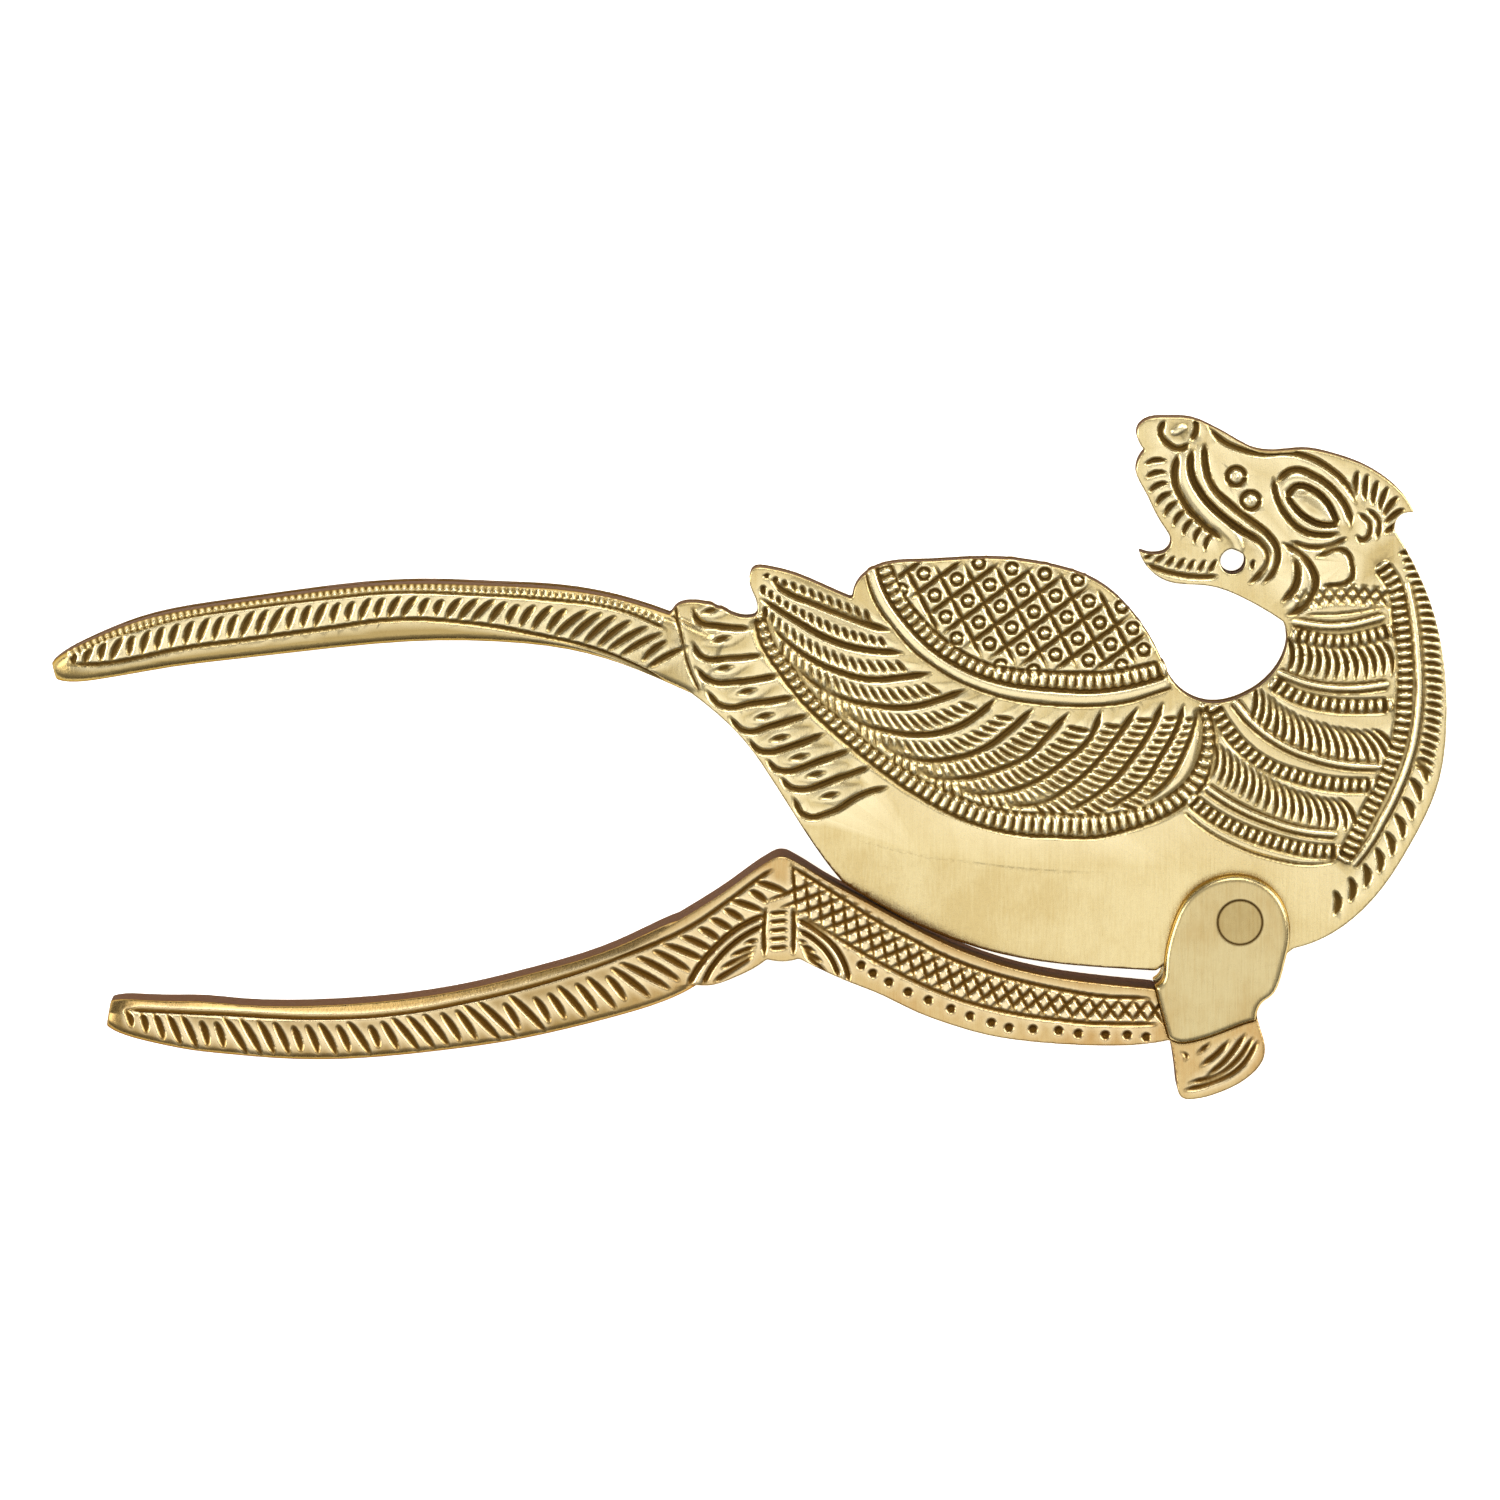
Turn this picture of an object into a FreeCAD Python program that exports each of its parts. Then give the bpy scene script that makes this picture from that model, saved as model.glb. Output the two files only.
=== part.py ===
"""Cast brass nutcracker (a sarota): a bird-shaped cutting lever hinged to an anvil lever by one rivet.

The tool lies on its side.  +Z is up, the X axis runs from the handles to the bird's neck, and the
origin is on the rivet's axis, in the outer face of the rear cheek, which is the face it lies on.
All sizes are in millimetres.  Outlines are drawn about the rivet's axis.
"""

import math
import os

import FreeCAD
import Part
import Sketcher

from FreeCAD import Placement, Rotation, Vector

# ---------------------------------------------------------------------------------------------
# Driving sizes: alias, value
# ---------------------------------------------------------------------------------------------

SIZES = [
    ("blade_reach", 62.5),  # rivet axis to the elbow of the anvil lever; the bird is drawn to it
    ("upper_handle_length", 84.6),  # tail collar to the tip of the upper handle
    ("lower_handle_length", 77.4),  # elbow's end to the tip of the lower handle
    ("plate_thickness", 5.0),  # the bird
    ("bar_thickness", 9.8),  # the anvil bar and the elbow
    ("handle_thickness", 9.8),  # both grips, at their thickest
    ("upper_grip_width", 8.0),
    ("lower_grip_width", 7.6),
    ("grip_corner_radius", 1.3),
    ("palm_bevel_width", 1.9),  # the lower grip's inner edges are cut straight: across its face
    ("palm_bevel_depth", 1.3),  # and down its side
    ("cheek_thickness", 2.9),
    ("cheek_edge_radius", 0.9),
    ("side_gap", 0.1),  # between the bird and each cheek
    ("rivet_radius", 2.5),
    ("rivet_running_gap", 0.05),  # between the rivet and the bird's bore
    ("rivet_flare", 0.55),  # how far each peened end spreads into its countersink
    ("rivet_flare_depth", 0.9),
    ("ear_wall", 5.0),  # brass around the bird's bore, under the rivet
    ("bite_gap", 0.2),  # blade edge to anvil where the closed jaws touch
    ("blade_land", 2.6),  # thickness left at the cutting edge
    ("mouth_hole_radius", 1.7),
]

DRAWN_REACH = 62.5  # the blade_reach at which the outlines below are drawn
BEVEL_CLEAR = 1.0  # how far the blade's bevel cutter stands clear of the face and the edge
THIN = 0.02  # a cutter section that cuts nothing, where a bevel runs out
BEVEL_SEED = 0.1  # the share of one growing step that a grip's bevel starts with
CORNER_SHARE = 0.42  # the most of a grip's width or thickness that one corner may take
SLOT_CLEAR = 1.3  # from the bird's ear to the floor of the slot between the cheeks

doc = FreeCAD.newDocument("nutcracker")
sheet = doc.addObject("Spreadsheet::Sheet", "sizes")
for row, (alias, value) in enumerate(SIZES, start=1):
    sheet.set(f"A{row}", alias)
    sheet.set(f"B{row}", str(value))
    sheet.setAlias(f"B{row}", alias)
doc.recompute()


def size(alias):
    """The sheet's value for an alias, in millimetres."""
    return float(sheet.get(alias))


scale = size("blade_reach") / DRAWN_REACH
MIDDLE = "sizes.cheek_thickness + sizes.side_gap + sizes.plate_thickness / 2"

# ---------------------------------------------------------------------------------------------
# Helpers
# ---------------------------------------------------------------------------------------------


def origin_plane(body, role):
    """One of a body's own origin planes, by its role."""
    return next(f for f in body.Origin.OriginFeatures if f.Role == role)


def new_body(name):
    """An empty body whose middle plane lies at half the tool's thickness."""
    body = doc.addObject("PartDesign::Body", name)
    body.Label = name
    body.setExpression("Placement.Base.z", MIDDLE)
    return body


def new_sketch(body, name, role="XY_Plane"):
    """An empty sketch on one of the body's origin planes."""
    sketch = body.newObject("Sketcher::SketchObject", name)
    sketch.AttachmentSupport = [(origin_plane(body, role), "")]
    sketch.MapMode = "FlatFace"
    return sketch


def drawn(points):
    """Outline points, drawn at DRAWN_REACH, at the size that the sheet asks for."""
    return [Vector(x * scale, y * scale, 0) for x, y in points]


def add_curve(sketch, points):
    """A smooth curve through the points, or a straight edge between two."""
    if len(points) == 2:
        sketch.addGeometry(Part.LineSegment(points[0], points[1]), False)
        return
    curve = Part.BSplineCurve()
    curve.interpolate(points)
    sketch.addGeometry(curve, False)


def add_outline(sketch, stretches):
    """A closed outline: each stretch starts where the last one ended."""
    first = stretches[0][0]
    here = first
    for points in stretches[:-1]:
        add_curve(sketch, [here] + points[1:])
        here = points[-1]
    add_curve(sketch, [here] + stretches[-1][1:] + [first])


def add_circle(sketch, centre, radius_expression):
    """A circle whose radius follows the sheet and whose centre stays put."""
    circle = sketch.addGeometry(Part.Circle(centre, Vector(0, 0, 1), 1.0), False)
    radius = sketch.addConstraint(Sketcher.Constraint("Radius", circle, 1.0))
    sketch.setExpression(f"Constraints[{radius}]", radius_expression)
    for kind, place in (("DistanceX", centre.x), ("DistanceY", centre.y)):
        if abs(place) > 1e-9:
            sketch.addConstraint(Sketcher.Constraint(kind, -1, 1, circle, 3, place))
    if centre.Length < 1e-9:
        sketch.addConstraint(Sketcher.Constraint("Coincident", -1, 1, circle, 3))


def pad(body, sketch, name, length_expression):
    """A pad of equal depth on both sides of the sketch."""
    made = body.newObject("PartDesign::Pad", name)
    made.Profile = sketch
    made.Midplane = True
    made.setExpression("Length", length_expression)
    doc.recompute()
    return made


def pocket_through(body, sketch, name):
    """A pocket right through the body, both ways."""
    before = body.Shape.Volume
    made = body.newObject("PartDesign::Pocket", name)
    made.Profile = sketch
    made.Type = "ThroughAll"
    made.Midplane = True
    doc.recompute()
    assert body.Shape.Volume < before, f"{name} cut nothing"
    return made


def edge_names(shape, wanted):
    """The names of the edges for which wanted(edge) holds."""
    return [f"Edge{i}" for i, edge in enumerate(shape.Edges, start=1) if wanted(edge)]


def grip_section(body, name, centre, heading, width, thickness, corner, bevel):
    """A section square to a grip's run, width in the tool's plane, thickness across it.

    Its corners are round, but where bevel is given the two on the +Y side are cut straight.
    """
    sketch = body.newObject("Sketcher::SketchObject", name)
    along = Vector(math.cos(heading), math.sin(heading), 0)
    across = Vector(-along.y, along.x, 0)
    up = Vector(0, 0, 1)
    sketch.Placement = Placement(centre, Rotation(across, up, along, "XYZ"))
    a, b = width / 2, thickness / 2
    r = min(corner, CORNER_SHARE * width, CORNER_SHARE * thickness)
    cut_width, cut_depth = r, r
    if bevel:
        cut_width = min(bevel[0], CORNER_SHARE * width)
        cut_depth = min(bevel[1], CORNER_SHARE * thickness)
    for i, (su, sv) in enumerate(((1, 1), (-1, 1), (-1, -1), (1, -1))):
        if bevel and su > 0:
            ends = (Vector(a, sv * (b - cut_depth), 0), Vector(a - cut_width, sv * b, 0))
            sketch.addGeometry(Part.LineSegment(*ends), False)
            continue
        turn = i * math.pi / 2
        circle = Part.Circle(Vector(su * (a - r), sv * (b - r), 0), Vector(0, 0, 1), r)
        sketch.addGeometry(Part.ArcOfCircle(circle, turn, turn + math.pi / 2), False)
    sides = [
        (Vector(a - cut_width, b, 0), Vector(r - a, b, 0)),
        (Vector(-a, b - r, 0), Vector(-a, r - b, 0)),
        (Vector(r - a, -b, 0), Vector(a - cut_width, -b, 0)),
        (Vector(a, cut_depth - b, 0), Vector(a, b - cut_depth, 0)),
    ]
    for start, end in sides:
        sketch.addGeometry(Part.LineSegment(start, end), False)
    return sketch


def grip(body, name, root, length, stations, width, thickness, corner, bevel=None):
    """A lofted grip.  Each station is (share of the length from the root, rise, width share,
    thickness share); the rise is a share of the length too, and the run follows the stations.
    A bevel grows from next to nothing at the first station to its full size at the fourth."""
    centres = [root + Vector(-share * length, rise * length, 0) for share, rise, _, _ in stations]
    sections = []
    for i, (_, _, wide, thick) in enumerate(stations):
        before = centres[max(0, i - 1)]
        after = centres[min(len(centres) - 1, i + 1)]
        heading = math.atan2(before.y - after.y, before.x - after.x)
        grown = min(1.0, (i + BEVEL_SEED) / 3)
        sections.append(
            grip_section(
                body,
                f"{name}_section_{i}",
                centres[i],
                heading,
                wide * width,
                thick * thickness,
                corner,
                [grown * side for side in bevel] if bevel else None,
            )
        )
    loft = body.newObject("PartDesign::AdditiveLoft", name)
    loft.Profile = sections[0]
    loft.Sections = sections[1:]
    doc.recompute()
    return loft


# ---------------------------------------------------------------------------------------------
# The bird: handle, tail, wing, belly, neck and head are one casting
# ---------------------------------------------------------------------------------------------

# The cutting edge, from the rivet to the tail; the anvil's top follows it.
BLADE_EDGE = [
    (-11.3, -7.2),
    (-19.3, -6.75),
    (-29.3, -5.6),
    (-39.3, -2.9),
    (-47.0, 0.6),
    (-54.3, 5.1),
]
TAIL_EDGE = [(-54.3, 5.1), (-58.8, 11.2), (-63.8, 19.1), (-67.7, 24.6), (-73.2, 29.8), (-79.2, 34.0)]
COLLAR = [(-79.2, 34.0), (-79.6, 38.2), (-77.5, 42.3)]
TAIL_TOP = [(-77.5, 42.3), (-76.7, 43.2), (-75.2, 43.6), (-71.2, 42.8), (-67.3, 41.5), (-66.0, 41.8)]
FIRST_FEATHER = [
    (-66.0, 41.8),
    (-66.1, 44.0),
    (-67.0, 46.7),
    (-66.4, 48.2),
    (-64.6, 48.3),
    (-60.6, 47.3),
    (-56.6, 45.6),
    (-52.9, 44.0),
]
COVERTS = [
    (-52.9, 44.0),
    (-52.3, 46.2),
    (-49.6, 48.4),
    (-43.4, 49.2),
    (-34.5, 49.6),
    (-25.5, 48.5),
    (-19.6, 46.4),
    (-14.6, 42.0),
    (-11.1, 36.5),
]
THROAT = [
    (-11.1, 36.5),
    (-8.7, 32.1),
    (-4.2, 29.8),
    (0.3, 30.7),
    (4.3, 33.6),
    (6.4, 38.4),
    (5.9, 40.9),
]
JAW = [
    (5.9, 40.9),
    (1.3, 43.7),
    (-4.7, 45.9),
    (-10.1, 46.5),
    (-13.1, 48.9),
    (-13.9, 50.7),
]
JAW_TOP = [(-13.9, 50.7), (-12.4, 50.2), (-10.4, 50.4)]
MOUTH_CORNER = [(-10.4, 50.4), (-9.6, 51.3), (-10.0, 53.2)]
LIP = [(-10.0, 53.2), (-11.8, 56.1), (-13.1, 58.8), (-14.3, 61.4), (-13.9, 63.3), (-13.1, 64.3)]
NOSE_AND_BROW = [
    (-13.1, 64.3),
    (-14.0, 65.6),
    (-14.2, 67.2),
    (-13.2, 68.4),
    (-10.1, 68.9),
    (-6.7, 68.7),
    (-4.0, 67.6),
    (-1.4, 66.2),
    (1.3, 64.7),
    (4.5, 64.2),
    (8.6, 64.5),
    (12.8, 63.7),
    (16.5, 62.4),
    (19.6, 60.6),
    (22.3, 58.1),
    (23.6, 55.9),
]
CREST_NOTCH = [(23.6, 55.9), (21.6, 55.4), (20.9, 53.5)]
NAPE_AND_CHEST = [
    (20.9, 53.5),
    (23.6, 48.9),
    (26.4, 42.0),
    (27.9, 34.5),
    (28.2, 26.5),
    (27.1, 18.6),
    (23.6, 10.7),
    (18.7, 3.2),
    (13.0, -1.8),
    (7.5, -4.0),
]
MOUTH_HOLE = (-1.1, 49.2)

# The ground bevel along the blade: station, where it starts on the face, the edge, and half the
# thickness left at the edge as a share of blade_land.  None: the bevel runs out here.
BEVEL_STATIONS = [
    (-60.0, 13.4, 12.4, None),
    (-54.0, 11.5, 4.9, 0.7),
    (-46.0, 9.2, -0.1, 0.5),
    (-34.0, 7.7, -4.6, 0.5),
    (-22.0, 6.9, -6.6, 0.5),
    (-12.0, 6.7, -7.3, 0.6),
    (-3.0, 6.5, -7.6, None),
]

# Share of the handle's length, rise, width share, thickness share
UPPER_GRIP = [
    (-0.060, -0.028, 1.10, 0.56),
    (0.000, 0.000, 1.10, 0.72),
    (0.085, 0.032, 1.05, 0.92),
    (0.180, 0.053, 1.00, 0.98),
    (0.330, 0.063, 0.96, 1.00),
    (0.500, 0.058, 1.00, 1.00),
    (0.660, 0.039, 0.97, 1.00),
    (0.800, 0.020, 0.92, 1.00),
    (0.900, -0.004, 0.78, 0.94),
    (0.955, -0.021, 0.62, 0.84),
    (0.985, -0.030, 0.46, 0.70),
    (1.000, -0.034, 0.30, 0.52),
]


def ear_curve(start, end):
    """The brass under the rivet: round about its axis at the ear's radius."""
    radius = size("rivet_radius") + size("ear_wall")
    turns = [math.radians(degrees) for degrees in (-60, -90, -118)]
    middle = [Vector(radius * math.cos(turn), radius * math.sin(turn), 0) for turn in turns]
    return [start] + middle + [end]


def cut_bevel(body, name, side):
    """Grinds one face of the belly from the face down to the cutting edge."""
    face = size("plate_thickness") / 2
    outside = face + BEVEL_CLEAR
    before = body.Shape.Volume
    sections = []
    for i, (station, start, edge, share) in enumerate(BEVEL_STATIONS):
        start, edge = start * scale, edge * scale
        low = face + THIN if share is None else size("blade_land") * share
        slope = (face - low) / (start - edge)
        past = edge - BEVEL_CLEAR
        corners = [
            Vector(start, side * face, 0),
            Vector(past, side * (low - slope * BEVEL_CLEAR), 0),
            Vector(past, side * outside, 0),
            Vector(start, side * outside, 0),
        ]
        if share is None:
            corners[0] = Vector(start, side * (face + THIN), 0)
        sketch = body.newObject("Sketcher::SketchObject", f"{name}_section_{i}")
        sketch.AttachmentSupport = [(origin_plane(body, "YZ_Plane"), "")]
        sketch.MapMode = "FlatFace"
        sketch.AttachmentOffset = Placement(Vector(0, 0, station * scale), Rotation())
        for a, b in zip(corners, corners[1:] + corners[:1]):
            sketch.addGeometry(Part.LineSegment(a, b), False)
        sections.append(sketch)
    made = body.newObject("PartDesign::SubtractiveLoft", name)
    made.Profile = sections[0]
    made.Sections = sections[1:]
    doc.recompute()
    assert body.Shape.Volume < before, f"{name} cut nothing"


def make_upper_lever():
    """The cutting lever: the bird's plate, its grip, the ground blade, the bore and the mouth's hole."""
    body = new_body("upper_lever")
    outline = new_sketch(body, "bird_outline")
    blade = drawn(BLADE_EDGE)
    chest = drawn(NAPE_AND_CHEST)
    stretches = [blade]
    for points in (
        TAIL_EDGE,
        COLLAR,
        TAIL_TOP,
        FIRST_FEATHER,
        COVERTS + THROAT[1:],
        JAW,
        JAW_TOP,
        MOUTH_CORNER,
        LIP,
        NOSE_AND_BROW,
        CREST_NOTCH,
    ):
        stretches.append(drawn(points))
    stretches.append(chest)
    stretches.append(ear_curve(chest[-1], blade[0])[:-1])
    add_outline(outline, stretches)
    pad(body, outline, "bird_plate", "sizes.plate_thickness")
    grip(
        body,
        "upper_grip",
        drawn([(-77.3, 37.0)])[0],
        size("upper_handle_length"),
        UPPER_GRIP,
        size("upper_grip_width"),
        size("handle_thickness"),
        size("grip_corner_radius"),
    )
    cut_bevel(body, "front_bevel", 1)
    cut_bevel(body, "back_bevel", -1)
    bore = new_sketch(body, "bore_circle")
    add_circle(bore, Vector(0, 0, 0), "sizes.rivet_radius + sizes.rivet_running_gap")
    pocket_through(body, bore, "rivet_bore")
    hole = new_sketch(body, "mouth_circle")
    add_circle(hole, drawn([MOUTH_HOLE])[0], "sizes.mouth_hole_radius")
    pocket_through(body, hole, "mouth_hole")
    return body


# ---------------------------------------------------------------------------------------------
# The anvil lever: grip, elbow, anvil bar, tongue and foot are one casting
# ---------------------------------------------------------------------------------------------

# How far the anvil's top lies below the blade's edge when the jaws are closed, beyond bite_gap
ANVIL_DROP = [1.9, 1.55, 1.05, 0.35, 0.0, 0.45]
ELBOW_RISE = [(-56.4, 5.6), (-59.4, 7.5), (-61.3, 8.6)]
ELBOW_PEAK = [(-61.3, 8.6), (-62.6, 9.0), (-63.9, 8.6)]
ELBOW_FALL = [(-63.9, 8.6), (-65.4, 7.7), (-69.4, 4.8), (-74.3, 1.6), (-79.0, -1.2)]
ELBOW_END = [(-79.0, -1.2), (-80.2, -4.6), (-78.4, -9.2)]
ELBOW_UNDER = [(-78.4, -9.2), (-74.2, -8.8), (-72.4, -8.8), (-69.2, -7.8), (-66.3, -6.4), (-64.6, -5.2)]
TIE_UNDER = [(-64.6, -5.2), (-62.4, -5.5), (-60.2, -5.1)]
BAR_UNDER = [
    (-60.2, -5.1),
    (-56.4, -7.0),
    (-53.2, -8.4),
    (-49.4, -9.9),
    (-44.5, -12.3),
    (-39.5, -14.2),
    (-34.6, -15.6),
    (-28.0, -16.6),
    (-19.7, -17.1),
    (-13.0, -16.9),
    (-9.4, -16.3),
]
FOOT = [(-9.4, -16.3), (-8.9, -19.0), (-8.4, -23.2)]
FOOT_SOLE = [
    (-8.4, -23.2),
    (-7.6, -24.4),
    (-6.2, -24.5),
    (-2.4, -23.5),
    (1.6, -21.2),
    (3.5, -18.4),
    (3.3, -16.0),
    (2.5, -13.2),
]

LOWER_GRIP = [
    (-0.050, 0.030, 1.06, 0.94),
    (0.000, 0.000, 1.26, 0.98),
    (0.095, -0.040, 1.20, 1.00),
    (0.225, -0.077, 1.13, 1.00),
    (0.355, -0.105, 1.05, 1.00),
    (0.485, -0.123, 1.00, 1.00),
    (0.620, -0.132, 0.98, 1.00),
    (0.750, -0.129, 0.92, 1.00),
    (0.880, -0.117, 0.84, 1.00),
    (0.950, -0.108, 0.70, 0.96),
    (0.988, -0.101, 0.56, 0.88),
    (1.000, -0.099, 0.46, 0.80),
]

# ---------------------------------------------------------------------------------------------
# The cheeks, drawn about the rivet at their own size
# ---------------------------------------------------------------------------------------------

CHEEK_CROWN = [
    (6.6, -4.0),
    (6.9, -1.4),
    (5.7, 3.0),
    (2.5, 5.8),
    (-1.0, 6.4),
    (-4.6, 5.4),
    (-7.4, 3.1),
    (-9.2, -0.6),
    (-10.3, -6.0),
    (-10.6, -8.0),
    (-11.6, -8.9),
]
CHEEK_SEAM = [(-11.6, -8.9), (-11.0, -11.4), (-9.7, -16.0)]
CHEEK_FOOT = [(-9.7, -16.0), (-8.3, -16.7), (-6.1, -16.5), (-3.2, -15.6), (2.4, -13.6)]
CHEEK_BACK = [(2.4, -13.6), (2.5, -12.3), (3.2, -11.1), (4.3, -10.3), (5.4, -8.5), (6.6, -4.0)]


def fixed(points):
    """Points drawn about the rivet that keep their size whatever the blade's reach."""
    return [Vector(x, y, 0) for x, y in points]


def cheek_stretches():
    """The cheek's closed outline."""
    return [fixed(CHEEK_CROWN), fixed(CHEEK_SEAM), fixed(CHEEK_FOOT), fixed(CHEEK_BACK)[:-1]]


def anvil_top():
    """The anvil's top edge, from the cheeks to the elbow: the blade's edge, lowered."""
    points = []
    for (x, y), drop in zip(BLADE_EDGE, ANVIL_DROP):
        points.append(Vector(x * scale, y * scale - drop * scale - size("bite_gap"), 0))
    return points


def slot_floor(start, end):
    """The floor of the slot between the cheeks, clear of the bird's ear and of its chest."""
    deep = size("rivet_radius") + size("ear_wall") + SLOT_CLEAR
    return [start, Vector(-2.0, -deep, 0), end]


def make_lower_lever():
    """The anvil lever: elbow and bar, the tongue between the cheeks, the foot and the grip."""
    body = new_body("lower_lever")
    outline = new_sketch(body, "bar_outline")
    top = anvil_top()
    under = drawn(BAR_UNDER[:-3]) + fixed(BAR_UNDER[-3:])
    floor = slot_floor(top[0], Vector(2.5, -12.3, 0))
    add_outline(
        outline,
        [
            top + drawn(ELBOW_RISE),
            drawn(ELBOW_PEAK),
            drawn(ELBOW_FALL),
            drawn(ELBOW_END),
            drawn(ELBOW_UNDER),
            drawn(TIE_UNDER),
            under,
            fixed(FOOT),
            fixed(FOOT_SOLE) + [floor[2]],
            [floor[2], floor[1]],
        ],
    )
    pad(body, outline, "elbow_and_bar", "sizes.bar_thickness")
    grip(
        body,
        "lower_grip",
        drawn([(-77.3, -5.2)])[0],
        size("lower_handle_length"),
        LOWER_GRIP,
        size("lower_grip_width"),
        size("handle_thickness"),
        size("grip_corner_radius"),
        (size("palm_bevel_width"), size("palm_bevel_depth")),
    )
    for name, side in (("front_rebate", 1), ("rear_rebate", -1)):
        cut_rebate(body, name, side)
    return body


def cut_rebate(body, name, side):
    """Cuts the seat of one cheek, down to the tongue that fills the space between the cheeks."""
    before = body.Shape.Volume
    sketch = new_sketch(body, f"{name}_outline")
    half_slot = "(sizes.plate_thickness / 2 + sizes.side_gap)"
    sketch.setExpression("AttachmentOffset.Base.z", f"{side} * {half_slot}")
    add_outline(sketch, cheek_stretches())
    made = body.newObject("PartDesign::Pocket", name)
    made.Profile = sketch
    made.Type = "ThroughAll"
    made.Reversed = side > 0
    doc.recompute()
    assert body.Shape.Volume < before, f"{name} cut nothing"


def make_cheek(name, side):
    """One cheek plate, rounded on its outer edge, bored and countersunk for the rivet."""
    body = doc.addObject("PartDesign::Body", name)
    body.Label = name
    if side > 0:
        slot = "sizes.plate_thickness + 2 * sizes.side_gap"
        body.setExpression("Placement.Base.z", f"sizes.cheek_thickness + {slot}")
    outline = new_sketch(body, f"{name}_outline")
    add_outline(outline, cheek_stretches())
    plate = body.newObject("PartDesign::Pad", f"{name}_plate")
    plate.Profile = outline
    plate.setExpression("Length", "sizes.cheek_thickness")
    doc.recompute()
    outer = size("cheek_thickness") if side > 0 else 0.0
    rim = edge_names(plate.Shape, lambda e: all(abs(v.Z - outer) < 1e-6 for v in e.Vertexes))
    rounding = body.newObject("PartDesign::Fillet", f"{name}_rounding")
    rounding.Base = (plate, rim)
    rounding.setExpression("Radius", "sizes.cheek_edge_radius")
    doc.recompute()
    bore = new_sketch(body, f"{name}_bore_circle")
    add_circle(bore, Vector(0, 0, 0), "sizes.rivet_radius")
    pocket_through(body, bore, f"{name}_bore")
    sink = body.newObject("PartDesign::SubtractiveCone", f"{name}_countersink")
    sink.AttachmentSupport = [(origin_plane(body, "XY_Plane"), "")]
    sink.MapMode = "FlatFace"
    wide, narrow = ("Radius2", "Radius1") if side > 0 else ("Radius1", "Radius2")
    sink.setExpression(wide, "sizes.rivet_radius + sizes.rivet_flare")
    sink.setExpression(narrow, "sizes.rivet_radius")
    sink.setExpression("Height", "sizes.rivet_flare_depth")
    if side > 0:
        sink.setExpression("AttachmentOffset.Base.z", "sizes.cheek_thickness - sizes.rivet_flare_depth")
    doc.recompute()
    return body


# ---------------------------------------------------------------------------------------------
# The rivet: a plain shank, peened flush into both countersinks
# ---------------------------------------------------------------------------------------------


def make_rivet(name):
    """The rivet's shank and its two peened ends, as one solid."""
    overall = "2 * sizes.cheek_thickness + 2 * sizes.side_gap + sizes.plate_thickness"
    shank = doc.addObject("Part::Cylinder", f"{name}_shank")
    shank.setExpression("Radius", "sizes.rivet_radius")
    shank.setExpression("Height", overall)
    ends = []
    for end, wide, narrow in (("rear", "Radius1", "Radius2"), ("front", "Radius2", "Radius1")):
        cone = doc.addObject("Part::Cone", f"{name}_{end}_peen")
        cone.setExpression(wide, "sizes.rivet_radius + sizes.rivet_flare")
        cone.setExpression(narrow, "sizes.rivet_radius")
        cone.setExpression("Height", "sizes.rivet_flare_depth")
        ends.append(cone)
    ends[1].setExpression("Placement.Base.z", f"{overall} - sizes.rivet_flare_depth")
    fused = doc.addObject("Part::MultiFuse", name)
    fused.Shapes = [shank] + ends
    fused.Refine = True
    fused.Label = name
    doc.recompute()
    return fused


# ---------------------------------------------------------------------------------------------
# Build, check and write
# ---------------------------------------------------------------------------------------------

pieces = [
    make_upper_lever(),
    make_lower_lever(),
    make_cheek("front_cheek", 1),
    make_cheek("rear_cheek", -1),
    make_rivet("pivot_rivet"),
]
doc.recompute()

for obj in doc.Objects:
    broken = [word for word in obj.State if word in ("Invalid", "Error")]
    assert not broken, f"{obj.Name} is {broken}: {obj.getStatusString()}"

os.makedirs("parts", exist_ok=True)
for piece in pieces:
    shape = piece.Shape
    assert not shape.isNull() and shape.isValid(), f"{piece.Label} has a bad shape"
    assert len(shape.Solids) == 1, f"{piece.Label} is {len(shape.Solids)} solids"
    shape.exportStep(f"parts/{piece.Label}.step")
    box = shape.BoundBox
    sides = " x ".join(f"{length:.1f}" for length in (box.XLength, box.YLength, box.ZLength))
    print(f"{piece.Label}: {shape.Volume:.0f} mm3, {sides} mm")
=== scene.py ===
# %% [markdown]
# # A cast brass nutcracker in the shape of a bird
#
# The real tool is a betel-nut cutter. A craftsman casts two levers in brass, chases feathers, scales
# and beads into both faces, grinds the bird's belly to a blade, and hinges the levers on one rivet.
# The CAD model gives the solids. This notebook carves them and gives them their metal.

# %% Load the frame
import math

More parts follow.
